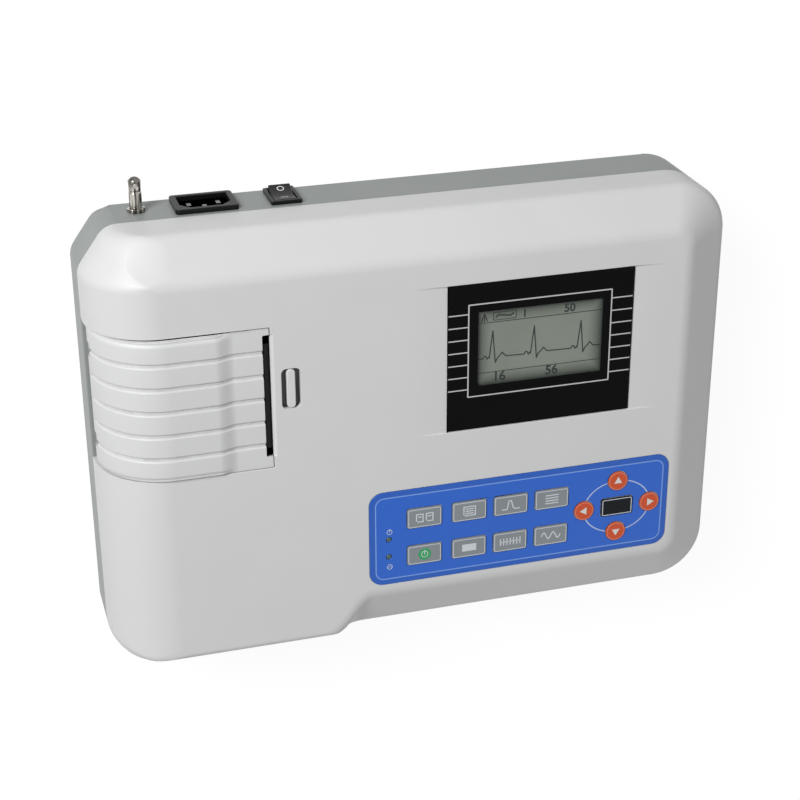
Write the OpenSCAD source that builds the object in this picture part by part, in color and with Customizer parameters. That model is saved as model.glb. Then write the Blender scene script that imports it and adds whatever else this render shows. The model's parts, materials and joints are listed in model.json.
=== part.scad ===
// Bench-top heart-trace recorder with a paper printer, a small screen and a keypad.
// It lies flat on four feet: +X is to the user's right, +Y to the rear wall, +Z up.
// The origin is on the table, under the middle of the case with its earth post.
// Inside the modules x is counted from the left wall, y from the front wall and z from the table.

/* [Case] */
// Width of the case, left to right
case_w = 315; // [312:1:330]
// Depth of the case, front to rear
case_d = 220; // [218:1:232]
// Height of the flat face above the table
face_z = 71.5; // [70:0.5:78]
// Height of the seam between the white and the grey shell
seam_z = 35; // [34:0.5:37]
// Wall thickness of both shells
wall = 2.5; // [2:0.1:3]
// Height of the sloping band round the face
bevel_drop = 14; // [10:0.5:18]
// Width of the sloping band along the right side
bevel_right = 23.5; // [16:0.5:26]
// Width of the sloping band along the rear
bevel_rear = 19.5; // [14:0.5:24]
// Width of the sloping band along the front
bevel_front = 24; // [16:0.5:26]
// Plan radius of the front right corner
corner_front_right = 26; // [18:1:32]
// Plan radius of the rear right corner
corner_rear_right = 25; // [18:1:32]
// Plan radius of the front left corner
corner_front_left = 12; // [8:1:16]
// Plan radius of the face's own corners
corner_face = 8; // [4:1:12]
// Radius of the rounded left side
left_round = 33; // [30:0.5:34]
// Width of the raised front left block
block_w = 123.4; // [120:0.5:126]
// How far the block's front leans back at the face
block_lean = 3; // [1:0.5:5]
// Slope of the block's right side, along x
block_step = 5.6; // [4:0.2:8]
// Edge cut round the bottom of the grey shell
bottom_cut = 3; // [1:0.5:4]
// Depth of the tongue where the two shells meet
seam_lip = 2; // [1:0.5:3]

/* [Feet and screws] */
// Height of the rubber feet below the case
foot_h = 5; // [3:0.5:6]
// Diameter of a rubber foot
foot_dia = 16; // [12:1:18]
// Distance of the feet from the sides
foot_in = 30; // [28:1:40]
// Diameter of the case screws
screw_dia = 3; // [2.5:0.1:3.5]
// Diameter of the bosses that take the case screws
boss_dia = 8; // [7:0.5:9]

/* [Display] */
// Width of the black panel
panel_w = 94.4; // [90:0.2:98]
// Depth of the black panel, front to rear
panel_d = 76.5; // [72:0.5:80]
// Thickness of the black panel
panel_t = 0.8; // [0.6:0.1:1]
// Middle of the black panel from the right wall
panel_in = 99.7; // [95:0.1:105]
// Middle of the black panel from the front wall
panel_y = 147.3; // [145:0.5:149]
// Depth to which the shallow band round the panel sinks
band_drop = 0.8; // [0.4:0.1:1]
// Width of the tapering band on each side of the panel
band_w = 17; // [8:1:20]
// Width of the screen
screen_w = 63.6; // [58:0.2:66]
// Depth of the screen, front to rear
screen_d = 38.7; // [34:0.1:42]
// Middle of the screen behind the middle of the panel
screen_up = 3.8; // [0:0.2:6]

/* [Keypad] */
// Width of the blue keypad sheet
pad_w = 158.8; // [158:0.2:164]
// Depth of the blue keypad sheet, front to rear
pad_d = 52; // [50:0.5:56]
// Corner radius of the keypad sheet
pad_r = 7; // [3:0.5:9]
// Thickness of the keypad sheet
pad_t = 0.8; // [0.6:0.1:1]
// Middle of the keypad from the right wall
pad_in = 107.5; // [107:0.1:109]
// Middle of the keypad from the front wall
pad_y = 54.9; // [54:0.1:56]
// Width of a function key
key_w = 17.8; // [14:0.2:19]
// Depth of a function key, front to rear
key_d = 10.8; // [8:0.2:13]
// Corner radius of the keys
key_r = 1.2; // [0.6:0.2:3]
// How far a key stands above the keypad sheet
key_proud = 0.6; // [0.4:0.1:1]
// How far a key travels
key_travel = 0.4; // [0.2:0.05:0.5]
// Distance of the first key column from the keypad's middle
key_left_in = 51.2; // [49.5:0.1:52.5]
// Distance between the first and the second column
key_first_gap = 23.4; // [22:0.1:24]
// Distance between the other columns
key_pitch_x = 21.85; // [20:0.05:23]
// Middle of the front key row from the front wall
key_row_y = 43.6; // [43:0.1:44]
// Distance between the two key rows
key_pitch_y = 20.9; // [18:0.1:22]
// Distance of the arrow keys' middle from the keypad's middle
arrow_in = 51.6; // [49.5:0.1:54.5]
// Middle of the arrow keys from the front wall
arrow_y = 54.7; // [54:0.1:56]
// Distance of the left and right arrow keys from their middle
arrow_reach_x = 17.9; // [16.5:0.1:18.5]
// Distance of the front and rear arrow keys from their middle
arrow_reach_y = 14.6; // [13.5:0.1:16]
// Diameter of an arrow key
arrow_dia = 10.6; // [8:0.2:11.4]
// Width of the key between the arrows
set_w = 17; // [12:0.2:18]
// Depth of the key between the arrows
set_d = 10; // [8:0.2:11]
// Diameter of the stems under the keys
stem_dia = 5; // [3:0.5:6]
// Distance of the two lamps from the keypad's middle
lamp_in = 69.5; // [66.5:0.1:71.5]
// Distance of the front lamp from the front wall
lamp_y = 44.5; // [42:0.5:46]
// Distance between the two lamps
lamp_pitch = 9.8; // [8:0.2:12]
// Diameter of a lamp
lamp_dia = 3; // [2:0.2:4]

/* [Printer door] */
// Front edge of the door from the front wall
door_y = 103.4; // [101:0.2:106]
// Length of the door, front to rear
door_len = 71.6; // [71:0.2:73]
// Thickness of the door
door_t = 2.2; // [1.8:0.1:2.4]
// How far the door's raised part stands above the face
door_proud = 2.5; // [1.5:0.1:3.5]
// How far the door's left end lies inside the left wall
door_inset = 1.5; // [1:0.1:2.5]
// Where the raised part starts to fall, from the left wall
door_fall_x = 57.1; // [54:0.1:60]
// Width of the fall from the raised part to the face
door_fall_w = 6.2; // [4:0.1:9]
// Left edge of the paper slit, from the left wall
slit_x = 78.2; // [77.6:0.1:78.8]
// Width of the paper slit
slit_w = 3.7; // [2.8:0.1:4]
// Length of the door's ears in front of and behind the slit
ear_front = 5.6; // [3:0.2:7]
// Length of the ear behind the slit
ear_rear = 3.2; // [2:0.2:5]
// Number of bands on the door
bands = 6; // [4:1:8]
// Width of the groove between two bands
groove_w = 1.4; // [0.8:0.1:2]
// Depth of the groove between two bands
groove_d = 0.8; // [0.3:0.1:1.2]
// Radius of the hinge barrel
barrel_r = 4.2; // [3.8:0.1:4.4]
// Diameter of the hinge pin
hinge_pin_dia = 3; // [2:0.1:3.4]
// Length of each hinge lug
lug_len = 7; // [5:0.5:10]
// Distance of each lug from the door's end
lug_in = 9; // [6:0.5:14]
// Gap round the door and round everything that moves
gap = 0.5; // [0.3:0.1:0.6]

/* [Latch] */
// Width of the latch pocket
pocket_w = 9.1; // [8.5:0.1:11]
// Length of the latch pocket, front to rear
pocket_d = 20.5; // [16:0.5:24]
// Middle of the latch pocket from the left wall
pocket_x = 91.2; // [90:0.1:92.5]
// Middle of the latch pocket from the front wall
pocket_y = 143.2; // [138:0.2:146]
// Width of the thumb ridge in the pocket
ridge_w = 4.2; // [3:0.1:5]
// How far the latch slides
latch_travel = 2; // [1:0.1:2.1]

/* [Printer] */
// Middle of the roller from the left wall
platen_x = 72.2; // [71.8:0.1:72.4]
// Depth of the roller's axis below the face
platen_down = 10.5; // [10:0.1:11]
// Radius of the rubber roller
platen_r = 5.4; // [5:0.1:5.6]
// Radius of the roller's shaft
shaft_r = 2; // [1.5:0.1:2.4]
// Running clearance of a shaft in its bore
run_gap = 0.06; // [0.03:0.01:0.09]
// Module of the gears
gear_m = 0.7; // [0.66:0.02:0.72]
// Teeth on the roller's gear
platen_teeth = 18; // [17:1:18]
// Teeth on the middle gear
idler_teeth = 34; // [30:1:36]
// Teeth on the motor's pinion
pinion_teeth = 14; // [14:1:16]
// Width of the gears
gear_w = 3.6; // [3:0.1:3.8]
// Direction from the middle gear to the roller, in degrees from +X
mesh_up = 118; // [114:1:122]
// Direction from the middle gear to the motor, in degrees from +X
mesh_down = -35; // [-45:1:-30]
// Diameter of the motor
motor_dia = 20; // [18:0.5:21]
// Length of the motor
motor_len = 15; // [12:0.5:16]
// Width of the paper
paper_w = 50; // [48:1:51]
// Outer radius of the paper roll
roll_r = 22; // [16:0.5:22.5]
// Radius of the spindle that carries the roll
core_r = 6; // [5:0.5:8]
// Radius of the spindle's ends
spindle_r = 2.5; // [2:0.1:3]
// Middle of the roll from the left wall
roll_x = 37; // [36.5:0.1:37.5]
// Height of the roll's axis above the table
roll_z = 36; // [35.5:0.1:37]

/* [Rear wall] */
// Middle of the mains inlet from the left wall
inlet_x = 62.9; // [58:0.2:66]
// Width of the mains inlet's flange
inlet_w = 30; // [29:0.5:31]
// Height of the mains inlet's flange
inlet_h = 22.5; // [22:0.5:24]
// Middle of the power switch from the left wall
switch_x = 100.7; // [98:0.2:106]
// Width of the power switch's bezel
switch_w = 15; // [14.6:0.2:16]
// Height of the power switch's bezel
switch_h = 21; // [20.6:0.2:22]
// Angle that the rocker leans to each side, in degrees
rocker_lean = 9; // [6:1:10]
// Height of the inlet, the switch and the post above the table
rear_row_z = 21.4; // [21.2:0.1:22]
// Middle of the earth post from the left wall
post_x = 31; // [30:0.2:34]
// Radius of the earth post
post_r = 3; // [2.5:0.1:3.4]
// Length of the earth post outside the wall
post_len = 17; // [15:0.5:20]

/* [Lead socket] */
// Middle of the patient lead socket from the front wall
socket_y = 150; // [130:1:160]
// Height of the patient lead socket above the table
socket_z = 21; // [20:0.2:22]
// Distance between the two jack screws
jack_pitch = 33.3; // [33.3:0.1:33.3]
// Depth of the pocket round the socket
socket_sink = 5; // [4:0.5:6]

/* [Battery] */
// Length of the battery pack, left to right
battery_l = 78; // [60:1:84]
// Width of the battery pack, front to rear
battery_w = 44; // [36:1:46]
// Height of the battery pack
battery_h = 20; // [16:0.5:21]
// Left end of the battery pack from the left wall
battery_x = 28; // [26:0.5:32]
// Front of the battery pack from the front wall
battery_y = 16; // [15:0.5:18]

/* [Hidden] */
$fn = 64;
bevel_z = face_z - bevel_drop;
chamfer_x = bevel_drop;
chamfer_y = bevel_rear;
floor_z = foot_h + wall;
skin_z = face_z - wall;
sliver = 0.01;
through = 1;

// Display stack, from the face down
panel_x = case_w - panel_in;
panel_top = face_z - band_drop;
panel_under = panel_top - panel_t;
screen_y = panel_y + screen_up;
lens_t = 0.8;
lens_rim = 2.5;
glass_rim = 2.2;
glass_top = panel_under - lens_t - 0.05;
pad_under = 1.5;
lcd_top = skin_z - pad_under - 0.05;
lcd_t = 5.5;
lcd_rim = 10;

// Keypad stack
pad_x = case_w - pad_in;
key_first_x = pad_x - key_left_in;
arrow_x = pad_x + arrow_in;
lamp_x = pad_x - lamp_in;
recess_z = face_z - 0.5;
sheet_z = recess_z + pad_t;
key_top = sheet_z + key_proud;
key_under = recess_z + key_travel + 0.1;
key_gap = 0.3;
switch_side = 6;
board_t = 1.6;
switch_tall = 3.2;
stem_gap = 0.1;
key_board_z = skin_z - 0.6 - switch_tall - board_t;
switch_top = key_board_z + board_t + switch_tall;
stem_z = switch_top + key_travel + stem_gap;
key_x = [for (i = [0:3])
         i == 0 ? key_first_x : key_first_x + key_first_gap + (i - 1) * key_pitch_x];
key_y = [key_row_y, key_row_y + key_pitch_y];
arrow_spots = [[arrow_x, arrow_y + arrow_reach_y], [arrow_x, arrow_y - arrow_reach_y],
               [arrow_x - arrow_reach_x, arrow_y], [arrow_x + arrow_reach_x, arrow_y]];
key_spots = concat([for (y = key_y) for (x = key_x) [x, y]], arrow_spots, [[arrow_x, arrow_y]]);
lamp_spots = [[lamp_x, lamp_y], [lamp_x, lamp_y + lamp_pitch]];

// Printer door
door_end = door_y + door_len;
door_right = slit_x + slit_w - gap;
hinge_x = door_inset + barrel_r;
hinge_z = seam_z + barrel_r + 1;
door_top = face_z + door_proud;
round_x = door_inset + left_round;
round_z = door_top - left_round;
band_pitch = door_len / bands;
lug_spots = [door_y + lug_in, door_end - lug_in - lug_len];
platen_z = face_z - platen_down;
cheek_t = 2.4;
cheek_front = door_y + 4.6;
gear_end = door_end - 1.5;
cheek_rear = gear_end - gear_w - 1 - cheek_t;
sleeve_y = cheek_front + cheek_t + 1;
sleeve_end = cheek_rear - 1;
catch_w = 3;

// Gear train: the middle gear hangs below the roller, the motor beside it
idler_x = platen_x - gear_m * (platen_teeth + idler_teeth) / 2 * cos(mesh_up);
idler_z = platen_z - gear_m * (platen_teeth + idler_teeth) / 2 * sin(mesh_up);
motor_x = idler_x + gear_m * (pinion_teeth + idler_teeth) / 2 * cos(mesh_down);
motor_z = idler_z + gear_m * (pinion_teeth + idler_teeth) / 2 * sin(mesh_down);
idler_turn = mesh_up;
platen_turn = mesh_up + 180 - 180 / platen_teeth;
pinion_phase = 0.5 - (mesh_down - idler_turn) * idler_teeth / 360;
pinion_turn = mesh_down + 180 - pinion_phase * 360 / pinion_teeth;
pressure = 20;
involute = tan(pressure) * 180 / PI - pressure;
tooth_slack = 0.06;
tooth_tip = 0.85;
tooth_root = 1.25;
motor_shaft_r = 1;

// Print head and its bracket
strip_x = platen_x + platen_r + 0.3;
strip_t = 0.2;
head_x = strip_x + strip_t + 0.3;
ceramic_t = 0.8;
head_t = 3;
head_y = door_y + 8.6;
head_len = 54;
head_top = skin_z - 1.2;
head_drop = 16;
plate_t = 1.2;
plate_x = head_x + ceramic_t + head_t + 2.3;
plate_top = skin_z - 2.8;
side_y = cheek_rear + cheek_t - plate_t + 0.6;
stub_r = 2;
head_spring_r = 3;

// Paper tray
tray_wall = 2;
tray_gap = 2;
tray_left = roll_x - roll_r - tray_gap - tray_wall;
tray_right = roll_x + roll_r + tray_gap + tray_wall;
tray_mid = door_y + door_len / 2 - 0.7;
tray_in = paper_w / 2 + 2.5;
tray_top = roll_z + 12;
paper_front = tray_mid - paper_w / 2;

// Latch
latch_t = 2;
latch_top = skin_z - 0.3;
latch_left = pocket_x - pocket_w / 2 - 2.4;
latch_right = pocket_x + pocket_w / 2 + 3.5;
latch_nose = slit_x - 0.5;
catch_edge = latch_nose - 0.4;
arm_front = door_y + 1.2;
arm_w = 2.6;

// Rear wall parts
cutout_gap = 0.2;
inlet_body_w = 27;
inlet_body_h = 19.6;
inlet_flange_t = 2.5;
inlet_deep = 20;
socket_hole_w = 24;
socket_hole_h = 16.6;
socket_hole_deep = 17;
blade_t = 2;
blade_h = 4;
blade_len = 15;
blade_spots = [[-7, -1.4], [0, 2.6], [7, -1.4]];
switch_body_w = 13;
switch_body_h = 19;
switch_flange_t = 2;
switch_deep = 18;
rocker_w = 10.8;
rocker_half = 8;
rocker_high = 3.2;
post_bore_r = 2.1;
post_dome = 1.8;
nut_t = 2;
nut_across = 9;

// Lead socket
socket_recess_w = 46;
socket_recess_h = 17;
flange_w = 39.2;
flange_h = 12.5;
shell_w = 25;
shell_h = 8.4;
shell_skew = 10;
jack_r = 2.6;
jack_bore_r = 1.3;
jack_stud_r = 1.5;

// Battery bay
bay_wall = 2;
bay_gap = 1;
cover_t = 2.5;
cover_rim = 5;
battery_z = foot_h + cover_t + 0.8;

// Boards on the floor of the grey shell
post_h = 5;
main_x = 152;
main_y = 34;
main_w = case_w - main_x - 23;
main_d = 166;
power_x = 110;
power_y = 76;
power_w = 36;
power_d = 118;
board_z = floor_z + post_h;
board_in = 5;
board_post_r = 3.2;
board_screw_r = 1.4;
screw_head_r = 2.8;
screw_head_t = 1.8;

main_spots = [for (x = [main_x + board_in, main_x + main_w - board_in])
              for (y = [main_y + board_in, main_y + main_d - board_in]) [x, y]];
power_spots = [for (x = [power_x + board_in, power_x + power_w - board_in])
               for (y = [power_y + board_in, power_y + power_d - board_in]) [x, y]];
case_screw_spots = [[16, 70], [16, case_d - 40], [139, 12], [126, case_d - 16], [case_w - 14, 58],
                    [case_w - 38, case_d - 12]];
foot_spots = [[foot_in, foot_in + 52], [case_w - foot_in, foot_in], [foot_in, case_d - foot_in],
              [case_w - foot_in, case_d - foot_in]];

// Moves the case's front left corner to its place round the origin
module in_case() {
    translate([-case_w / 2, -(case_d + post_len) / 2, 0]) children();
}

// Stands an x-z outline up and runs it from y0 to y1
module along_y(y0, y1) {
    translate([0, y1, 0]) rotate([90, 0, 0]) linear_extrude(y1 - y0) children();
}

// Stands a y-z outline up and runs it from x0 to x1
module along_x(x0, x1) {
    translate([x0, 0, 0]) rotate([90, 0, 90]) linear_extrude(x1 - x0) children();
}

// Runs a plan outline from z0 up to z1
module along_z(z0, z1) {
    translate([0, 0, z0]) linear_extrude(z1 - z0) children();
}

module rounded_rect(w, d, r) {
    square([w - 2 * r, d], center = true);
    square([w, d - 2 * r], center = true);
    for (sx = [-1, 1], sy = [-1, 1]) translate([sx * (w / 2 - r), sy * (d / 2 - r)]) circle(r);
}

module box(x0, x1, y0, y1, z0, z1) {
    translate([x0, y0, z0]) cube([x1 - x0, y1 - y0, z1 - z0]);
}

// Plan of the case, moved inwards by inset
module case_outline(inset) {
    slant = norm([chamfer_x, chamfer_y]);
    polygon([[corner_front_left, inset], [case_w - corner_front_right, inset],
             [case_w - inset, corner_front_right], [case_w - inset, case_d - corner_rear_right],
             [case_w - corner_rear_right, case_d - inset],
             [chamfer_x + inset * (slant - chamfer_x) / chamfer_y, case_d - inset],
             [inset, case_d - chamfer_y - inset * (slant - chamfer_y) / chamfer_x],
             [inset, corner_front_left]]);
    translate([corner_front_left, corner_front_left]) circle(corner_front_left - inset);
    translate([case_w - corner_front_right, corner_front_right]) circle(corner_front_right - inset);
    translate([case_w - corner_rear_right, case_d - corner_rear_right]) circle(corner_rear_right - inset);
}

// Flat face inside the sloping band
module face_outline(inset) {
    right = case_w - bevel_right - inset;
    rear = case_d - bevel_rear - inset;
    polygon([[inset, bevel_front + inset], [right - corner_face, bevel_front + inset],
             [right - corner_face, rear], [inset, rear]]);
    translate([right - corner_face, bevel_front + inset + corner_face]) circle(corner_face);
    translate([right - corner_face, rear - corner_face]) circle(corner_face);
}

// Plan of the front left block, whose front leans back by lean and whose side by step
module block_outline(inset, lean, step) {
    side = block_w + block_step;
    polygon([[corner_front_left, inset + lean], [block_w - inset - step * 1.9, inset + lean],
             [block_w - inset - step * 1.1, inset + lean * 2.6], [side - inset, bevel_front + inset],
             [side - inset, bevel_front * 2], [inset, bevel_front * 2],
             [inset, corner_front_left + lean]]);
    translate([corner_front_left, corner_front_left + lean]) circle(corner_front_left - inset);
}

// Everything below the rounded left side and the face
module left_side(inset) {
    along_y(0, case_d) {
        translate([left_round, face_z - left_round]) circle(left_round - inset);
        translate([left_round, 0]) square([case_w, face_z - inset]);
        translate([inset, 0]) square([left_round, face_z - left_round]);
    }
}

// Everything inside the band that tapers the rounded left side towards the rear wall
module side_taper(inset) {
    shrink = inset * norm([chamfer_x, chamfer_y]) / chamfer_y;
    round_mid = face_z - left_round;
    box(left_round, case_w, 0, case_d, 0, face_z);
    box(0, left_round, 0, case_d, 0, round_mid);
    box(0, left_round, 0, case_d - chamfer_y, 0, face_z);
    translate([left_round, case_d - chamfer_y - sliver, round_mid]) rotate([-90, 0, 0])
        cylinder(r1 = left_round - shrink, r2 = left_round - chamfer_x - shrink,
                 h = chamfer_y + 2 * sliver);
}

// Form of the white shell, moved inwards by inset
module upper_form(inset, low) {
    ledge = bevel_z - inset * 0.3;
    top = face_z - inset;
    intersection() {
        union() {
            along_z(low, ledge) case_outline(inset);
            hull() {
                along_z(ledge - sliver, ledge) case_outline(inset);
                along_z(top - sliver, top) face_outline(inset * 0.3);
            }
            hull() {
                along_z(ledge - sliver, ledge) block_outline(inset, 0, 0);
                along_z(top - sliver, top) block_outline(inset, block_lean, block_step);
            }
        }
        left_side(inset);
        side_taper(inset);
    }
}

// Shallow band across the face that sinks towards the black panel
module sunk_band() {
    left = panel_x - panel_w / 2;
    right = panel_x + panel_w / 2;
    along_y(panel_y - panel_d / 2, panel_y + panel_d / 2)
        polygon([[left - band_w, face_z], [left, panel_top], [right, panel_top], [right + band_w, face_z],
                 [right, face_z + through], [left, face_z + through]]);
    along_z(panel_under, face_z) translate([panel_x, panel_y]) square([panel_w, panel_d], center = true);
}

// Holes in the face for the keys and the lamps
module key_holes() {
    for (p = key_spots) translate([p.x, p.y, skin_z - through])
        cylinder(d = stem_dia + 1, h = wall + 2 * through);
    for (p = lamp_spots) translate([p.x, p.y, skin_z - through])
        cylinder(d = lamp_dia + 0.3, h = wall + 2 * through);
}

// Opening that the printer door closes, with the slit's sloping far edge
module door_opening() {
    edge = slit_x + slit_w;
    box(-through, edge, door_y - gap, door_end + gap, seam_z - seam_lip - through, door_top + through);
    along_y(door_y + ear_front, door_end - ear_rear)
        polygon([[edge - 1, face_z - 1.4], [edge, face_z - 1.4], [edge + 1.3, face_z],
                 [edge + 1.3, face_z + 1],
                 [edge - 1, face_z + 1]]);
}

module screw_bosses() {
    for (p = case_screw_spots) translate([p.x, p.y, seam_z]) cylinder(d = boss_dia, h = face_z - seam_z);
}

// White upper shell
module upper_case() {
    color("gainsboro") in_case() difference() {
        union() {
            difference() {
                upper_form(0, seam_z);
                upper_form(wall, seam_z - through);
            }
            intersection() {
                upper_form(wall / 2, seam_z);
                screw_bosses();
            }
            along_z(skin_z - pad_under, skin_z + sliver) translate([panel_x, panel_y])
                square([panel_w + 4, panel_d + 4], center = true);
            for (sx = [-1, 1], y = [pad_y - pad_d / 2 + 4, pad_y + pad_d / 2 - 4])
                translate([pad_x + sx * (pad_w / 2 - 5), y, key_board_z + board_t])
                    cylinder(r = 2.5, h = skin_z - key_board_z);
            latch_rails();
        }
        for (p = case_screw_spots) translate([p.x, p.y, seam_z - through])
            cylinder(d = screw_dia - 0.4, h = 14);
        sunk_band();
        along_z(panel_under - lens_t, panel_top) translate([panel_x, screen_y])
            square([screen_w + 2 * lens_rim + 0.2, screen_d + 2 * lens_rim + 0.2], center = true);
        along_z(skin_z - pad_under - through, panel_top) translate([panel_x, screen_y])
            square([screen_w + 2 * glass_rim + 0.2, screen_d + 2 * glass_rim + 0.2], center = true);
        along_z(recess_z, face_z + through) translate([pad_x, pad_y])
            rounded_rect(pad_w + 0.3, pad_d + 0.3, pad_r + 0.15);
        key_holes();
        door_opening();
        along_z(skin_z - through, face_z + through) translate([pocket_x, pocket_y])
            rounded_rect(pocket_w, pocket_d, 2.5);
    }
}

// Two rails under the face that the latch slides between
module latch_rails() {
    for (y = [pocket_y - pocket_d / 2 - 5.5, pocket_y + pocket_d / 2 + 3.8])
        box(latch_left + 4 + latch_travel + gap, latch_right + latch_travel, y, y + 1.5, latch_top - latch_t,
            skin_z + sliver);
}

// Two lugs that hold the door's pin on the grey shell's left wall
module hinge_lugs() {
    for (y = lug_spots) along_y(y, y + lug_len) {
        translate([hinge_x, hinge_z]) circle(barrel_r - 0.4);
        polygon([[wall - sliver, seam_z - 9], [hinge_x + 2, seam_z - 4],
                 [hinge_x + barrel_r - 0.6, hinge_z],
                 [hinge_x - barrel_r + 0.6, hinge_z], [wall - sliver, seam_z - 0.6]]);
    }
}

// Walls of the battery bay, open at the bottom
module battery_bay(grow, low, high) {
    box(battery_x - grow, battery_x + battery_l + grow, battery_y - grow, battery_y + battery_w + grow,
        low, high);
}

module board_posts() {
    for (p = concat(main_spots, power_spots))
        translate([p.x, p.y, foot_h + sliver]) cylinder(r = board_post_r, h = board_z - foot_h - sliver);
}

module board_post_bores() {
    for (p = concat(main_spots, power_spots))
        translate([p.x, p.y, floor_z]) cylinder(r = board_screw_r, h = post_h + through);
}

// Grey lower shell
module lower_case() {
    lip_in = wall + 0.15;
    color("slategray") in_case() difference() {
        union() {
            difference() {
                union() {
                    hull() {
                        along_z(foot_h, foot_h + sliver) case_outline(bottom_cut);
                        along_z(foot_h + bottom_cut, foot_h + bottom_cut + sliver) case_outline(0);
                    }
                    along_z(foot_h + bottom_cut, seam_z) case_outline(0);
                }
                along_z(floor_z, seam_z + through) case_outline(wall);
            }
            difference() {
                along_z(seam_z - seam_lip - 1, seam_z + seam_lip) case_outline(lip_in);
                along_z(seam_z - seam_lip - 2, seam_z + seam_lip + through) case_outline(lip_in + 1.2);
                box(-through, hinge_x * 2, door_y - 2, door_end + 2, seam_z - seam_lip - 2,
                    seam_z + seam_lip + 1);
                for (p = case_screw_spots) translate([p.x, p.y, seam_z])
                    cylinder(d = boss_dia + 1, h = seam_lip + 1);
            }
            difference() {
                along_z(seam_z - seam_lip - 1, seam_z - seam_lip + 0.5) case_outline(wall - sliver);
                along_z(seam_z - seam_lip - 2, seam_z) case_outline(lip_in + 1);
            }
            for (p = case_screw_spots) translate([p.x, p.y, foot_h + sliver])
                cylinder(d = boss_dia, h = seam_z - foot_h - sliver);
            battery_bay(bay_gap + bay_wall, foot_h + sliver, battery_z + battery_h + bay_gap + bay_wall);
            board_posts();
            hinge_lugs();
            box(case_w - socket_sink - wall - 4, case_w - wall + sliver,
                socket_y - socket_recess_w / 2 - 2,
                socket_y + socket_recess_w / 2 + 2, floor_z - sliver, socket_z + socket_recess_h / 2 + 2);
        }
        battery_bay(bay_gap, foot_h - through, battery_z + battery_h + bay_gap);
        battery_bay(bay_gap + cover_rim, foot_h - through, foot_h + cover_t - 1.2);
        for (p = case_screw_spots) translate([p.x, p.y, foot_h - through]) {
            cylinder(d = screw_dia + 0.4, h = seam_z);
            cylinder(r = screw_head_r + 0.3, h = screw_head_t + 4 + through);
        }
        for (p = foot_spots) translate([p.x, p.y, foot_h - through])
            cylinder(d = foot_dia + 0.4, h = 1 + through);
        for (y = [battery_y - bay_gap - 2.2, battery_y + battery_w + bay_gap + 2.2])
            translate([battery_x + battery_l / 2, y, foot_h]) cylinder(r = 1, h = 9);
        board_post_bores();
        for (y = lug_spots) along_y(y - 1, y + lug_len + 1) translate([hinge_x, hinge_z])
            circle(hinge_pin_dia / 2);
        rear_cutouts();
        socket_cutouts();
    }
}

module rear_cutouts() {
    along_y(case_d - wall - through, case_d + through) {
        translate([inlet_x, rear_row_z])
            square([inlet_body_w + cutout_gap, inlet_body_h + cutout_gap], center = true);
        translate([switch_x, rear_row_z])
            square([switch_body_w + cutout_gap, switch_body_h + cutout_gap], center = true);
        translate([post_x, rear_row_z]) circle(post_bore_r + 0.1);
    }
}

module socket_cutouts() {
    along_x(case_w - socket_sink, case_w + through) translate([socket_y, socket_z])
        rounded_rect(socket_recess_w, socket_recess_h, 3);
    along_x(case_w - socket_sink - wall - 5, case_w) translate([socket_y, socket_z])
        square([shell_w + 1, shell_h + 1], center = true);
    along_x(case_w - socket_sink - wall - 5, case_w - socket_sink - wall) translate([socket_y, socket_z])
        square([flange_w + 1, flange_h + 1], center = true);
    for (s = [-1, 1]) along_x(case_w - socket_sink - wall - 5, case_w)
        translate([socket_y + s * jack_pitch / 2, socket_z]) circle(jack_stud_r + 0.1);
}

module case_screws() {
    color("silver") in_case() for (p = case_screw_spots) translate([p.x, p.y, foot_h + 4]) {
        cylinder(r = screw_head_r, h = screw_head_t);
        cylinder(d = screw_dia - 0.4, h = seam_z - foot_h + 6);
    }
}

module rubber_feet() {
    color("dimgray") in_case() for (p = foot_spots) translate([p.x, p.y, 0]) {
        cylinder(d1 = foot_dia - 2, d2 = foot_dia, h = 1);
        translate([0, 0, 1]) cylinder(d = foot_dia, h = foot_h);
    }
}

// Shrink-wrapped pack of round cells, whose ends show at both sides
module battery_pack() {
    cell_r = battery_h / 2;
    rows = [battery_y + cell_r, battery_y + battery_w - cell_r];
    color("royalblue") in_case() {
        along_x(battery_x + 1, battery_x + battery_l - 1) {
            for (y = rows) translate([y, battery_z + cell_r]) circle(cell_r);
            translate([rows[0], battery_z]) square([rows[1] - rows[0], battery_h]);
        }
        for (y = rows) along_x(battery_x, battery_x + battery_l)
            translate([y, battery_z + cell_r]) circle(cell_r * 0.7);
    }
}

module battery_cover() {
    reach = bay_gap + cover_rim - 0.3;
    color("slategray") in_case() difference() {
        union() {
            battery_bay(reach, foot_h, foot_h + cover_t - 1.3);
            battery_bay(bay_gap - 0.3, foot_h, foot_h + cover_t);
        }
        for (y = [battery_y - bay_gap - 2.2, battery_y + battery_w + bay_gap + 2.2])
            translate([battery_x + battery_l / 2, y, foot_h - through])
                cylinder(r = 1.3, h = cover_t + 2 * through);
    }
}

module battery_cover_screws() {
    color("silver") in_case() for (y = [battery_y - bay_gap - 2.2, battery_y + battery_w + bay_gap + 2.2])
        translate([battery_x + battery_l / 2, y, foot_h - 1]) {
            cylinder(r = 2.2, h = 1);
            cylinder(r = 1, h = 9);
        }
}

// Black panel with its window
module display_panel() {
    color("black") in_case() difference() {
        along_z(panel_under, panel_top) translate([panel_x, panel_y])
            square([panel_w - 0.2, panel_d - 0.2], center = true);
        along_z(panel_under - through, panel_top + through) translate([panel_x, screen_y])
            square([screen_w, screen_d], center = true);
    }
}

module display_lens() {
    color("lightgray", 0.4) in_case() along_z(panel_under - lens_t, panel_under)
        translate([panel_x, screen_y])
        square([screen_w + 2 * lens_rim, screen_d + 2 * lens_rim], center = true);
}

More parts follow.
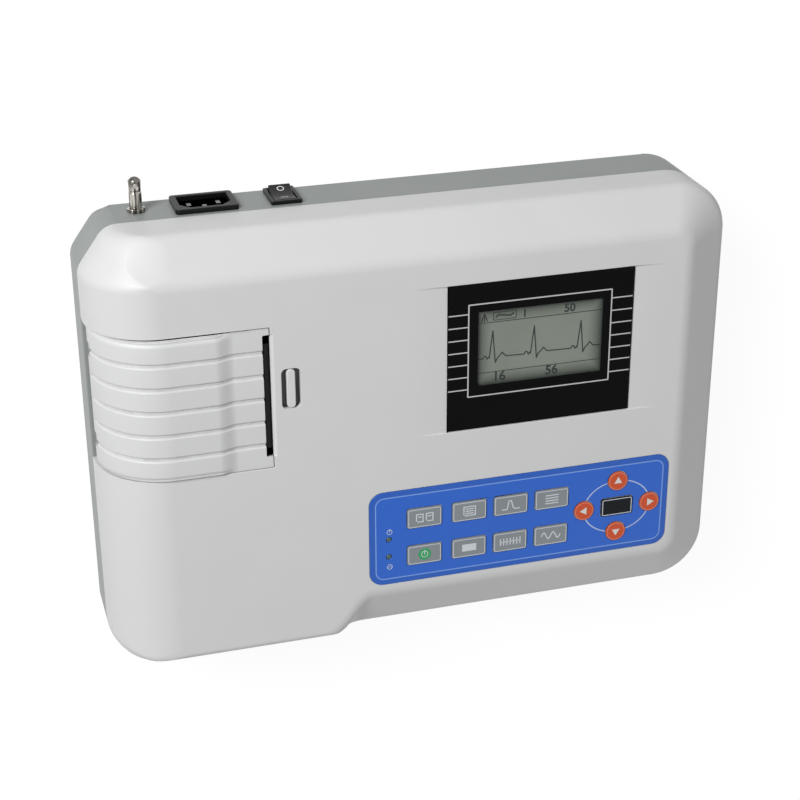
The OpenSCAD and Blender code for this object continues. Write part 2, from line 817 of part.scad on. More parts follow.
module lcd_module() {
    color("darkseagreen") in_case() {
        along_z(lcd_top - lcd_t, lcd_top) translate([panel_x, screen_y])
            square([screen_w + 2 * lcd_rim, screen_d + 2 * lcd_rim], center = true);
        along_z(lcd_top - sliver, glass_top) translate([panel_x, screen_y])
            square([screen_w + 2 * glass_rim, screen_d + 2 * glass_rim], center = true);
    }
}

// Blue sheet with a window for each key
module keypad_sheet() {
    color("steelblue") in_case() difference() {
        along_z(recess_z, sheet_z) translate([pad_x, pad_y]) rounded_rect(pad_w, pad_d, pad_r);
        along_z(recess_z - through, sheet_z + through) {
            for (x = key_x, y = key_y) translate([x, y])
                rounded_rect(key_w + 2 * key_gap, key_d + 2 * key_gap, key_r + key_gap);
            for (p = arrow_spots) translate(p) circle(d = arrow_dia + 2 * key_gap);
            translate([arrow_x, arrow_y])
                rounded_rect(set_w + 2 * key_gap, set_d + 2 * key_gap, key_r + key_gap);
            for (p = lamp_spots) translate(p) circle(d = lamp_dia + 0.2);
        }
    }
}

// A key's stem, under the outline that its child draws
module key_at(spot) {
    translate([spot.x, spot.y, 0]) {
        along_z(key_under, key_top) children();
        along_z(stem_z, key_under + sliver) circle(d = stem_dia);
    }
}

module function_key(column, row) {
    color("gray") in_case() key_at([key_x[column], key_y[row]]) rounded_rect(key_w, key_d, key_r);
}

module arrow_key(i) {
    color("orangered") in_case() key_at(arrow_spots[i]) circle(d = arrow_dia);
}

module key_lead() function_key(0, 1);
module key_start() function_key(1, 1);
module key_menu() function_key(2, 1);
module key_select() function_key(3, 1);
module key_power() function_key(0, 0);
module key_stop() function_key(1, 0);
module key_speed() function_key(2, 0);
module key_filter() function_key(3, 0);
module key_up() arrow_key(0);
module key_down() arrow_key(1);
module key_left() arrow_key(2);
module key_right() arrow_key(3);

module key_set() {
    color("black") in_case() key_at([arrow_x, arrow_y]) rounded_rect(set_w, set_d, key_r);
}

module status_lamps() {
    color("darkgreen") in_case() for (p = lamp_spots)
        translate([p.x, p.y, key_board_z + board_t])
            cylinder(d = lamp_dia, h = sheet_z - key_board_z - board_t);
}

// Board under the keys, with one push switch for each
module key_board() {
    color("darkgreen") in_case() {
        along_z(key_board_z, key_board_z + board_t) translate([pad_x, pad_y])
            square([pad_w - 2, pad_d - 2], center = true);
        for (p = key_spots) along_z(key_board_z + board_t - sliver, switch_top) translate(p)
            square(switch_side, center = true);
    }
}

module board_holes(spots) {
    for (p = spots) translate([p.x, p.y, board_z - through])
        cylinder(r = board_screw_r + 0.2, h = board_t + 2 * through);
}

// Board with two chips, a row of capacitors and the connectors for the lead socket and the screen
module main_board() {
    top = board_z + board_t;
    color("darkgreen") in_case() difference() {
        union() {
            box(main_x, main_x + main_w, main_y, main_y + main_d, board_z, top);
            box(main_x + 30, main_x + 52, main_y + 60, main_y + 82, top - sliver, top + 2);
            box(main_x + 70, main_x + 84, main_y + 64, main_y + 84, top - sliver, top + 2);
            box(main_x + 12, main_x + 17, main_y + 100, main_y + 130, top - sliver, top + 8);
            box(main_x + main_w - 50, main_x + main_w - 10, main_y + 20, main_y + 25, top - sliver, top + 8);
            for (i = [0:4]) translate([main_x + 40 + i * 12, main_y + 140, top - sliver])
                cylinder(r = 4, h = 11);
        }
        board_holes(main_spots);
    }
}

module power_board() {
    top = board_z + board_t;
    color("darkgreen") in_case() difference() {
        union() {
            box(power_x, power_x + power_w, power_y, power_y + power_d, board_z, top);
            box(power_x + 3, power_x + 5, power_y + 14, power_y + 44, top - sliver, top + 20);
            box(power_x + 10, power_x + 26, power_y + 98, power_y + 106, top - sliver, top + 12);
            for (i = [0:1]) translate([power_x + 24, power_y + 20 + i * 14, top - sliver])
                cylinder(r = 5.5, h = 20);
        }
        board_holes(power_spots);
    }
}

// Core and winding of the transformer on the power board
module transformer() {
    top = board_z + board_t;
    color("goldenrod") in_case() {
        box(power_x + 6, power_x + 30, power_y + 52, power_y + 86, top, top + 22);
        box(power_x + 3, power_x + 33, power_y + 58, power_y + 80, top + 3, top + 19);
    }
}

module board_screws() {
    color("silver") in_case() for (p = concat(main_spots, power_spots))
        translate([p.x, p.y, board_z - 4]) board_screw();
}

module board_screw() {
    cylinder(r = board_screw_r, h = 4 + board_t);
    translate([0, 0, 4 + board_t]) cylinder(r = screw_head_r, h = screw_head_t);
}

// Mouth of the mains inlet: two corners are cut off on the earth side
module inlet_mouth() {
    cut = 4.5;
    w = socket_hole_w / 2;
    h = socket_hole_h / 2;
    polygon([[-w, -h], [w, -h], [w, h - cut], [w - cut, h], [cut - w, h], [-w, h - cut]]);
}

module inlet_housing() {
    color("black") in_case() difference() {
        union() {
            along_y(case_d, case_d + inlet_flange_t) translate([inlet_x, rear_row_z])
                rounded_rect(inlet_w, inlet_h, 2);
            along_y(case_d - inlet_deep, case_d + sliver) translate([inlet_x, rear_row_z])
                square([inlet_body_w, inlet_body_h], center = true);
        }
        along_y(case_d + inlet_flange_t - socket_hole_deep, case_d + inlet_flange_t + through)
            translate([inlet_x, rear_row_z]) inlet_mouth();
        for (p = blade_spots) along_y(case_d - inlet_deep - through, case_d)
            translate([inlet_x + p.x, rear_row_z + p.y])
                square([blade_t + 0.1, blade_h + 0.1], center = true);
    }
}

module inlet_pins() {
    back = case_d + inlet_flange_t - socket_hole_deep;
    color("silver") in_case() for (p = blade_spots)
        along_y(case_d - inlet_deep - 6, back + blade_len) translate([inlet_x + p.x, rear_row_z + p.y])
            square([blade_t, blade_h], center = true);
}

module switch_housing() {
    color("black") in_case() difference() {
        union() {
            along_y(case_d, case_d + switch_flange_t) translate([switch_x, rear_row_z])
                rounded_rect(switch_w, switch_h, 1);
            along_y(case_d - switch_deep, case_d + sliver) translate([switch_x, rear_row_z])
                square([switch_body_w, switch_body_h], center = true);
            for (z = [-6, 0, 6]) box(switch_x - 2.4, switch_x + 2.4, case_d - switch_deep - 7,
                                     case_d - switch_deep + sliver,
                                     rear_row_z + z - 0.4, rear_row_z + z + 0.4);
        }
        along_y(case_d - 9, case_d + switch_flange_t + through) translate([switch_x, rear_row_z])
            square([rocker_w + 0.6, 2 * rocker_half + 1.6], center = true);
        along_x(switch_x - rocker_w / 2 - 1, switch_x + rocker_w / 2 + 1) translate([case_d, rear_row_z])
            circle(1.2);
    }
}

// Rocker, leaning with its upper end pressed in; it turns on two small stub pins
module switch_rocker() {
    color("black") in_case() translate([0, case_d, rear_row_z]) rotate([rocker_lean, 0, 0]) {
        along_x(switch_x - rocker_w / 2, switch_x + rocker_w / 2)
            polygon([[rocker_high, -rocker_half], [rocker_high / 2, 0], [rocker_high, rocker_half],
                     [-4, rocker_half - 1.6], [-5.5, 0], [-4, 1.6 - rocker_half]]);
        along_x(switch_x - rocker_w / 2 - 0.9, switch_x + rocker_w / 2 + 0.9) circle(1.2 - run_gap);
    }
}

// Turned earth post: shoulder, neck with a cross hole, rounded tip and a threaded tail
module earth_post() {
    start = case_d + nut_t;
    tip = case_d + post_len;
    color("silver") in_case() difference() {
        translate([post_x, 0, rear_row_z]) rotate([-90, 0, 0]) union() {
            translate([0, 0, case_d - wall - 6]) cylinder(r = post_bore_r, h = wall + 6 + nut_t + sliver);
            translate([0, 0, start]) cylinder(r = post_r, h = post_len * 0.45);
            translate([0, 0, start]) cylinder(r = post_r - 0.4, h = post_len - nut_t - 1.8);
            translate([0, 0, start + post_len * 0.45 + 0.8])
                cylinder(r = post_r - 0.1, h = post_len * 0.55 - nut_t - 2.6);
            translate([0, 0, tip - post_dome]) rotate_extrude() intersection() {
                square([post_r, post_dome]);
                translate([0, post_dome - post_r]) circle(post_r);
            }
        }
        translate([post_x, tip - 4, rear_row_z - post_r - 1]) cylinder(r = 1.1, h = 2 * post_r + 2);
    }
}

// Hexagon nut outside the wall and one inside it
module earth_nut() {
    color("silver") in_case() for (y = [case_d, case_d - wall - nut_t])
        translate([post_x, y, rear_row_z]) rotate([-90, 0, 0]) difference() {
            cylinder(d = nut_across, h = nut_t, $fn = 6);
            translate([0, 0, -through]) cylinder(r = post_bore_r + 0.05, h = nut_t + 2 * through);
        }
}

module d_outline(w, h, skew) {
    lean = h * tan(skew);
    polygon([[-w / 2, h / 2], [w / 2, h / 2], [w / 2 - lean, -h / 2], [lean - w / 2, -h / 2]]);
}

// Fifteen-way socket for the patient lead
module lead_socket() {
    back = case_w - socket_sink - wall;
    color("gray") in_case() difference() {
        union() {
            along_x(back - 1, back) translate([socket_y, socket_z])
                square([flange_w, flange_h], center = true);
            along_x(back - sliver, case_w - 0.5) translate([socket_y, socket_z])
                d_outline(shell_w, shell_h, shell_skew);
            along_x(back - 10, back) translate([socket_y, socket_z])
                square([shell_w - 1, shell_h], center = true);
        }
        for (i = [0:7]) along_x(case_w - 5, case_w)
            translate([socket_y + (i - 3.5) * 2.74, socket_z + 1.42]) circle(0.55);
        for (i = [0:6]) along_x(case_w - 5, case_w)
            translate([socket_y + (i - 3) * 2.74, socket_z - 1.42]) circle(0.55);
        for (s = [-1, 1]) along_x(back - 2, back + 1) translate([socket_y + s * jack_pitch / 2, socket_z])
            circle(jack_stud_r + 0.1);
    }
}

// Jack screws that hold the socket and take the plug's own screws
module jack_posts() {
    seat = case_w - socket_sink;
    color("silver") in_case() for (s = [-1, 1]) translate([seat, socket_y + s * jack_pitch / 2, socket_z])
        rotate([0, 90, 0]) difference() {
            union() {
                cylinder(r = jack_r, h = socket_sink - 0.5, $fn = 6);
                translate([0, 0, -wall - 4]) cylinder(r = jack_stud_r, h = wall + 4 + sliver);
            }
            translate([0, 0, 0.5]) cylinder(r = jack_bore_r, h = socket_sink);
        }
}

// Section of the door in x and z, moved inwards by inset
module door_section(inset) {
    low = hinge_z;
    shift = inset * 0.2;
    intersection() {
        union() {
            translate([round_x, round_z]) circle(left_round - inset);
            translate([door_inset + inset, low]) square([left_round, max(round_z - low, sliver)]);
            polygon([[round_x, low], [round_x, door_top - inset], [door_fall_x - shift, door_top - inset],
                     [door_fall_x + door_fall_w - shift, face_z - inset], [door_right, face_z - inset],
                     [door_right, low]]);
        }
        translate([0, low]) square([door_right, door_top]);
    }
}

module door_skin(outer, inner) {
    difference() {
        door_section(outer);
        door_section(inner);
    }
}

// Stiffening rib under the raised part, which ends short of the roller
module door_rib() {
    intersection() {
        door_skin(door_t - sliver, door_t + 2.5);
        square([platen_x - platen_r - 3.5, door_top]);
    }
}

// Door over the printer: a ribbed shell on a hinge barrel, with two cheeks for the roller
module printer_door() {
    color("whitesmoke") in_case() difference() {
        union() {
            along_y(door_y, door_end) door_skin(groove_d, door_t);
            for (i = [0:bands - 1])
                along_y(door_y + i * band_pitch + (i == 0 ? 0 : groove_w / 2),
                        door_y + (i + 1) * band_pitch - (i == bands - 1 ? 0 : groove_w / 2))
                    door_skin(0, (groove_d + door_t) / 2);
            along_y(door_y, door_end) translate([hinge_x, hinge_z]) circle(barrel_r);
            for (y = [cheek_front, cheek_rear]) along_y(y, y + cheek_t) cheek_outline();
            for (y = [door_y + 2, door_end - 3.5]) along_y(y, y + 1.5) door_rib();
            along_y(arm_front, arm_front + catch_w)
                polygon([[catch_edge - 3.5, face_z - 1.5], [catch_edge, face_z - 1.5],
                         [catch_edge, latch_top - latch_t - 2],
                         [catch_edge - 1.5, latch_top - latch_t - 2]]);
        }
        for (y = [door_y, door_end - 3]) door_end_slope(y);
        for (y = lug_spots) along_y(y - 0.3, y + lug_len + 0.3) translate([hinge_x, hinge_z]) {
            circle(barrel_r + 0.4);
            translate([-barrel_r - 1, -barrel_r - 1]) square([2 * barrel_r + 2, 2 * barrel_r + 1.4]);
        }
        along_y(door_y - through, door_end + through) translate([hinge_x, hinge_z])
            circle(hinge_pin_dia / 2 + run_gap);
        for (y = [cheek_front, cheek_rear]) along_y(y - through, y + cheek_t + through)
            translate([platen_x, platen_z]) circle(shaft_r + run_gap);
        box(slit_x, door_right + through, door_y + ear_front, door_end - ear_rear, hinge_z, door_top);
    }
}

module cheek_outline() {
    polygon([[platen_x - 6, face_z - 1.5], [platen_x - 4.6, platen_z - 2], [platen_x - 2, platen_z - 4.6],
             [platen_x + 2, platen_z - 4.6], [platen_x + 4.6, platen_z - 2],
             [platen_x + 4.6, face_z - 1.5]]);
}

// Slope at the front and rear end of the door's raised part
module door_end_slope(y) {
    rising = y == door_y;
    near = rising ? y : y + 3;
    far = rising ? y + 3 : y;
    along_x(0, door_fall_x + door_fall_w + 1)
        polygon([[near, face_z], [near, door_top + 1], [far, door_top + 1], [far, door_top]]);
    side = rising ? near - 1 : near;
    box(0, door_fall_x + door_fall_w + 1, side, side + 1, face_z, door_top + 1);
}

module door_pin() {
    color("silver") in_case() along_y(door_y + 0.5, door_end - 0.5) translate([hinge_x, hinge_z])
        circle(hinge_pin_dia / 2);
}

module platen_shaft() {
    color("silver") in_case() along_y(cheek_front - 0.8, gear_end + 0.6) translate([platen_x, platen_z])
        circle(shaft_r);
}

module platen_sleeve() {
    color("dimgray") in_case() along_y(sleeve_y, sleeve_end) translate([platen_x, platen_z])
        difference() {
            circle(platen_r);
            circle(shaft_r);
        }
}

// One flank point of an involute tooth at radius r, seen from the tooth's own middle line
function flank_angle(n, r) =
    let (base = gear_m * n / 2 * cos(pressure), a = acos(min(1, base / r)))
    90 / n + involute - tooth_slack / (gear_m * n) * 180 / PI * 2 - (tan(a) * 180 / PI - a);

// Gear outline with involute flanks
module gear_outline(n) {
    pitch = gear_m * n / 2;
    base = pitch * cos(pressure);
    root = pitch - tooth_root * gear_m;
    tip = pitch + tooth_tip * gear_m;
    low = max(base, root);
    radii = [for (k = [0:4]) low + (tip - low) * k / 4];
    circle(root + 0.05);
    for (i = [0:n - 1]) rotate(i * 360 / n)
        polygon(concat([[root * cos(flank_angle(n, low)), -root * sin(flank_angle(n, low))]],
                       [for (r = radii) [r * cos(flank_angle(n, r)), -r * sin(flank_angle(n, r))]],
                       [for (k = [4:-1:0]) [radii[k] * cos(flank_angle(n, radii[k])),
                                            radii[k] * sin(flank_angle(n, radii[k]))]],
                       [[root * cos(flank_angle(n, low)), root * sin(flank_angle(n, low))]]));
}

module gear_at(x, z, n, turn, bore) {
    along_y(gear_end - gear_w, gear_end) translate([x, z]) rotate(turn) difference() {
        gear_outline(n);
        circle(bore);
    }
}

module platen_gear() {
    color("ivory") in_case() gear_at(platen_x, platen_z, platen_teeth, platen_turn, shaft_r);
}

module idler_gear() {
    color("ivory") in_case() gear_at(idler_x, idler_z, idler_teeth, idler_turn, stub_r + run_gap);
}

// Pinion and the motor's own shaft
module motor_pinion() {
    color("goldenrod") in_case() {
        gear_at(motor_x, motor_z, pinion_teeth, pinion_turn, motor_shaft_r);
        along_y(side_y - 8, gear_end) translate([motor_x, motor_z]) circle(motor_shaft_r);
    }
}

module stepper_motor() {
    color("silver") in_case() difference() {
        union() {
            along_y(side_y - motor_len, side_y) translate([motor_x, motor_z]) circle(d = motor_dia);
            along_y(side_y - 1, side_y) translate([motor_x, motor_z]) {
                square([motor_dia + 8, 6], center = true);
            }
        }
        along_y(side_y - 9, side_y + through) translate([motor_x, motor_z])
            circle(motor_shaft_r + run_gap);
    }
}

// Heat sink with the ceramic strip that faces the roller
module print_head() {
    color("silver") in_case() {
        box(head_x + ceramic_t - sliver, head_x + ceramic_t + head_t, head_y, head_y + head_len,
            head_top - head_drop, head_top);
        box(head_x, head_x + ceramic_t, head_y + 1, head_y + head_len - 1, head_top - 12, head_top - 1.5);
    }
}

module head_springs() {
    from = head_x + ceramic_t + head_t;
    color("silver") in_case() for (s = [0.25, 0.75]) along_x(from, plate_x)
        translate([head_y + head_len * s, head_top - 8]) difference() {
            circle(head_spring_r);
            circle(head_spring_r - 0.5);
        }
}

// Folded sheet bracket that carries the print head, the middle gear and the motor
module printer_bracket() {
    foot_y = head_y + head_len * 0.62;
    color("lightsteelblue") in_case() difference() {
        union() {
            along_x(plate_x, plate_x + plate_t)
                polygon([[head_y - 2, floor_z], [foot_y, floor_z], [foot_y, plate_top - 13],
                         [side_y + plate_t, plate_top - 13],
                         [side_y + plate_t, plate_top], [head_y - 2, plate_top]]);
            along_y(side_y, side_y + plate_t)
                polygon([[idler_x - 5, idler_z - 3], [idler_x - 3, idler_z + 6], [plate_x, plate_top - 6],
                         [plate_x + plate_t, plate_top - 6], [motor_x + 14, motor_z + 8],
                         [motor_x + 14, motor_z - 5], [motor_x - 13, motor_z - 5]]);
            box(plate_x, plate_x + 10, head_y - 2, foot_y, floor_z, floor_z + plate_t);
            along_y(side_y + plate_t - sliver, gear_end + 0.5) translate([idler_x, idler_z])
                circle(stub_r);
            along_y(side_y + plate_t - sliver, gear_end - gear_w - 0.3) translate([idler_x, idler_z])
                circle(stub_r + 1.5);
        }
        along_y(side_y - through, side_y + plate_t + through) translate([motor_x, motor_z])
            circle(motor_shaft_r + 1.4);
    }
}

// Open bin for the paper roll, with a seat for the spindle in each end wall
module paper_tray() {
    color("gainsboro") in_case() difference() {
        along_y(tray_mid - tray_in - tray_wall, tray_mid + tray_in + tray_wall)
            polygon([[tray_left, floor_z], [tray_right, floor_z], [tray_right, roll_z - 4],
                     [tray_right - 10, tray_top],
                     [tray_left + 6, tray_top], [tray_left, tray_top - 8]]);
        along_y(tray_mid - tray_in, tray_mid + tray_in) translate([roll_x, roll_z]) {
            circle(roll_r + tray_gap);
            translate([-roll_r - tray_gap, 0]) square([2 * (roll_r + tray_gap), tray_top]);
        }
        along_y(tray_mid - tray_in - tray_wall - 1, tray_mid + tray_in + tray_wall + 1)
            translate([roll_x, roll_z]) {
            circle(spindle_r + run_gap);
            translate([-spindle_r - run_gap, 0]) square([2 * (spindle_r + run_gap), tray_top]);
        }
    }
}

module paper_spindle() {
    color("whitesmoke") in_case() {
        along_y(tray_mid - tray_in - tray_wall, tray_mid + tray_in + tray_wall)
            translate([roll_x, roll_z]) circle(spindle_r);
        along_y(paper_front - 1, paper_front + paper_w + 1) translate([roll_x, roll_z]) circle(core_r);
    }
}

module paper_roll() {
    color("mistyrose") in_case() along_y(paper_front, paper_front + paper_w) translate([roll_x, roll_z])
        difference() {
            circle(roll_r);
            circle(core_r);
        }
}

// Loose end of the paper, from the roll's right side up past the roller
module paper_strip() {
    start = [roll_x + roll_r + 0.3, roll_z];
    bend = [strip_x, platen_z - 6];
    color("mistyrose") in_case() along_y(paper_front, paper_front + paper_w)
        polygon([start, [start.x + 0.3, start.y], [bend.x + strip_t, bend.y],
                 [bend.x + strip_t, head_top - 1],
                 [bend.x, head_top - 1], [bend.x, bend.y + 0.3], [start.x, start.y + 0.4]]);
}

// Sliding latch: plate, thumb ridge and the arm that reaches under the door's edge
module door_latch() {
    low = latch_top - latch_t;
    front = pocket_y - pocket_d / 2 - 3.5;
    rear = pocket_y + pocket_d / 2 + 3.5;
    color("whitesmoke") in_case() {
        box(latch_left, latch_right, front, rear, low, latch_top);
        along_z(latch_top - sliver, face_z) translate([pocket_x, pocket_y])
            rounded_rect(ridge_w, pocket_d - 0.6, ridge_w / 2 - 0.01);
        box(latch_left, latch_left + 4, arm_front, front + sliver, low, latch_top);
        box(latch_nose, latch_left + sliver, arm_front, arm_front + arm_w, low, latch_top);
    }
}

upper_case();
lower_case();
case_screws();
rubber_feet();
battery_pack();
battery_cover();
battery_cover_screws();
display_panel();
display_lens();
lcd_module();
keypad_sheet();
key_lead();
key_start();
key_menu();
key_select();
key_power();
key_stop();
key_speed();
key_filter();
key_up();
key_down();
key_left();
key_right();
key_set();
status_lamps();
key_board();
main_board();
power_board();
transformer();
board_screws();
inlet_housing();
inlet_pins();
switch_housing();
switch_rocker();
earth_post();
earth_nut();
lead_socket();
jack_posts();
printer_door();
door_pin();
platen_shaft();
platen_sleeve();
platen_gear();
idler_gear();
motor_pinion();
stepper_motor();
print_head();
head_springs();
printer_bracket();
paper_tray();
paper_spindle();
paper_roll();
paper_strip();
door_latch();
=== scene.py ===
import json
from math import atan2, cos, degrees, hypot, pi, radians, sin, sqrt

import bmesh
import bpy
from mathutils import Matrix, Quaternion, Vector


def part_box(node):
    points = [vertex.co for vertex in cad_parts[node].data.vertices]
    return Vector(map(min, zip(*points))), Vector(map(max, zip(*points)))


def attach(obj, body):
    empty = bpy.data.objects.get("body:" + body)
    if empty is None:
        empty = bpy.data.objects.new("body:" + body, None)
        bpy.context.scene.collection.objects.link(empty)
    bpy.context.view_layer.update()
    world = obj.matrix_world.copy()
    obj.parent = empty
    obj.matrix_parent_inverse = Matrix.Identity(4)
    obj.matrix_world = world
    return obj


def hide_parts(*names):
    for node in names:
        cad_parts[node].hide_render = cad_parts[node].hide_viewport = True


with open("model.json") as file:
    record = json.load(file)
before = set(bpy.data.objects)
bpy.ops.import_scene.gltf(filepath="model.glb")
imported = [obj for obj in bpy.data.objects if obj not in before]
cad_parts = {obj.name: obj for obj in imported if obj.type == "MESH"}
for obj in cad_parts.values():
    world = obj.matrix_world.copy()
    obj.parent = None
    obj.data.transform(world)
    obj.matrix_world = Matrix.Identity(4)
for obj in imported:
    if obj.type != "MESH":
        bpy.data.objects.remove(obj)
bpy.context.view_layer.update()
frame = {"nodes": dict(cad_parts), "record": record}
mm = 0.001
bodies = frame["record"]["behaviour"]["bodies"]
bodyOf = {node: body for body, nodes in bodies.items() for node in nodes}
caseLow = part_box("lower_case")[0]
print("frame loaded,", len(frame["nodes"]), "CAD nodes")


# Plans are read in millimetres from the case's front left corner, heights from the table.
def at(x, y, z):
    return Vector((caseLow.x + x * mm, caseLow.y + y * mm, z * mm))


def plan(point):  # back from metres
    return (point.x - caseLow.x) / mm, (point.y - caseLow.y) / mm, point.z / mm


def middleOf(node):
    low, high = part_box(node)
    return plan((low + high) / 2)[:2]


def linked(name, data):
    obj = bpy.data.objects.new(name, data)
    bpy.context.scene.collection.objects.link(obj)
    return obj


photoView = dict(place=(-0.2276915, 0.3823966, 0.8221302),
                 turn=(0.9660388687, -0.2174066460, -0.1357360607, -0.0328477750),
                 lens=81.2123, sensor=36, nearest=0.01)


def makeCamera():  # at the photo's angle
    camera = linked("camera", bpy.data.cameras.new("camera"))
    camera.location = photoView["place"]
    camera.rotation_mode = "QUATERNION"
    camera.rotation_quaternion = Quaternion(photoView["turn"])
    camera.data.lens = photoView["lens"]
    camera.data.sensor_width = photoView["sensor"]
    camera.data.clip_start = photoView["nearest"]
    bpy.context.scene.camera = camera


makeCamera()


class Field:  # one output of a node, which can be reckoned with
    def __init__(self, nodes, socket):
        self.nodes, self.socket = nodes, socket

    def math(self, operation, *others, first=None):
        values = (self, *others) if first is None else (first, self)
        return self.nodes.node("Math", dict(operation=operation), *values)

    def __add__(self, other):
        return self.math("ADD", other)

    def __mul__(self, other):
        return self.math("MULTIPLY", other)

    def __sub__(self, other):
        return self.math("SUBTRACT", other)

    def __rsub__(self, other):
        return self.math("SUBTRACT", first=other)

    def __abs__(self):
        return self.math("ABSOLUTE")

    __radd__, __rmul__ = __add__, __mul__

    def step(self, low, high):  # 0 below low, 1 above high, soft between
        return self.nodes.node("MapRange", dict(interpolation_type="SMOOTHSTEP"),
                               **{"Value": self, "From Min": low, "From Max": high})

    def atMost(self, other):
        return self.math("MINIMUM", other)

    def atLeast(self, other):
        return self.math("MAXIMUM", other)

    def share(self, pitch):  # how far along each repeat of this many mm, from 0 to 1
        return (self * (1 / pitch)).math("FRACT")


class Nodes:  # a material's or the world's node tree
    def __init__(self, owner):
        owner.use_nodes = True
        self.tree = owner.node_tree

    def node(self, kind, settings, *values, output=0, **named):
        node = self.tree.nodes.new("ShaderNode" + kind)
        for name, value in settings.items():
            setattr(node, name, value)
        for key, value in [*enumerate(values), *named.items()]:
            if isinstance(value, Field):
                self.tree.links.new(value.socket, node.inputs[key])
            elif value is not None:
                node.inputs[key].default_value = value
        return Field(self, node.outputs[output])

    def seenByEye(self):  # camera, glossy and transmission rays
        rays = self.node("LightPath", dict()).socket.node.outputs
        camera, glossy, clear = (Field(self, rays[name]) for name in
                                 ("Is Camera Ray", "Is Glossy Ray", "Is Transmission Ray"))
        return camera.atLeast(glossy).atLeast(clear)


class Paint(Nodes):  # one material
    def __init__(self, name):
        self.material = bpy.data.materials.new(name)
        super().__init__(self.material)
        self.shader = self.tree.nodes["Principled BSDF"]
        self.place = self.node("TexCoord", dict(), output="Object")

    def axes(self):  # plan millimetres
        corner = (*caseLow.xy, 0)
        moved = self.node("VectorMath", dict(operation="SUBTRACT"), self.place, corner)
        grown = self.node("VectorMath", dict(operation="SCALE"), moved, Scale=1 / mm)
        split = self.node("SeparateXYZ", dict(), grown)
        return [Field(self, output) for output in split.socket.node.outputs]

    def noise(self, size, detail=2, rough=0.5, stretch=(1, 1, 1)):  # size in mm
        scaled = self.node("VectorMath", dict(operation="MULTIPLY"), self.place,
                           tuple(s / (size * mm) for s in stretch))
        return self.node("TexNoise", dict(), Vector=scaled, Scale=1, Detail=detail, Roughness=rough)

    def tint(self, share, a, b):  # a Mix node's colour sockets come after five others
        others = [None] * 5
        return self.node("Mix", dict(data_type="RGBA"), share, *others, a, b, output=2)

    def finish(self, colour, rough, height, depth, **constants):  # depth of the relief in mm
        bump = self.node("Bump", dict(), Height=height, Distance=depth * mm, Strength=1)
        for name, field in (("Base Color", colour), ("Roughness", rough), ("Normal", bump)):
            self.tree.links.new(field.socket, self.shader.inputs[name])
        for name, value in constants.items():
            self.shader.inputs[name.replace("_", " ")].default_value = value
        return self.material


def toned(*rgb):
    return (*rgb, 1)


def darker(colour, share):
    return (*(c * (1 - share) for c in colour[:3]), 1)


def deselect():
    bpy.ops.object.select_all(action="DESELECT")


def choose(*objects):
    deselect()
    for obj in objects:
        obj.select_set(True)
    bpy.context.view_layer.objects.active = objects[0]


def editing(obj, on=True):
    if on:
        choose(obj)
    bpy.ops.object.mode_set(mode="EDIT" if on else "OBJECT")


def pick(kind, wanted):  # kind is VERT, EDGE or FACE
    mesh = bpy.context.object.data
    bpy.ops.mesh.select_mode(type=kind)
    bpy.ops.mesh.select_all(action="DESELECT")
    cage = bmesh.from_edit_mesh(mesh)
    for part in {"VERT": cage.verts, "EDGE": cage.edges, "FACE": cage.faces}[kind]:
        if wanted(part):
            part.select_set(True)
    cage.select_flush_mode()
    bmesh.update_edit_mesh(mesh)


def near(a, b, reach=0.05):
    return abs(a - b) < reach


def vertsWhere(wanted):
    pick("VERT", lambda v: wanted(*plan(v.co)))


def edgesWhere(wanted):  # both ends have to agree
    pick("EDGE", lambda e: all(wanted(*plan(v.co)) for v in e.verts))


def applied(obj):
    choose(obj)
    bpy.ops.object.transform_apply(location=True, rotation=True, scale=True)
    return obj


def named(name):  # the primitive that was just added
    bpy.context.object.name = name
    return applied(bpy.context.object)


def block(name, low, high):
    deselect()
    a, b = at(*low), at(*high)
    bpy.ops.mesh.primitive_cube_add(size=1, location=(a + b) / 2, scale=b - a)
    return named(name)


def rod(name, start, end, radius, steps=32):  # a cylinder between two places
    deselect()
    a, b = at(*start), at(*end)
    bpy.ops.mesh.primitive_cylinder_add(vertices=steps, radius=radius * mm, depth=(b - a).length,
                                        location=(a + b) / 2,
                                        rotation=(b - a).to_track_quat("Z", "Y").to_euler())
    return named(name)


def bevelPicked(width, steps):
    bpy.ops.mesh.bevel(offset=width * mm, segments=steps, profile=0.5, affect="EDGES")


def roundedBlock(name, centre, size, radius, low, high, steps=8):
    x, y, wide, deep = *centre, *size
    obj = block(name, (x - wide / 2, y - deep / 2, low), (x + wide / 2, y + deep / 2, high))
    editing(obj)
    pick("EDGE", lambda e: abs(e.verts[0].co.z - e.verts[1].co.z) > 1e-6)
    bevelPicked(radius, steps)
    editing(obj, False)
    return obj


def slopedBlock(name, low, high, left=0, right=0):  # its lower long edges are moved sideways
    obj = block(name, low, high)
    editing(obj)
    for x, move in ((low[0], left), (high[0], right)):
        vertsWhere(lambda px, py, pz: near(px, x) and near(pz, low[2]))
        shift(x=move)
    editing(obj, False)
    return obj


def shift(x=0, z=0):
    bpy.ops.transform.translate(value=(x * mm, 0, z * mm))


def bisect(point, normal, **settings):
    bpy.ops.mesh.bisect(plane_co=at(*point), plane_no=normal, threshold=1e-6, **settings)


def modify(obj, kind, **settings):
    choose(obj)
    modifier = obj.modifiers.new(kind.title(), kind)
    for name, value in settings.items():
        setattr(modifier, name, value)
    bpy.ops.object.modifier_apply(modifier=modifier.name)
    return obj


def cutAway(obj, *cutters):
    for cutter in cutters:
        modify(obj, "BOOLEAN", object=cutter, operation="DIFFERENCE", solver="EXACT")
        bpy.data.objects.remove(cutter)
    return obj


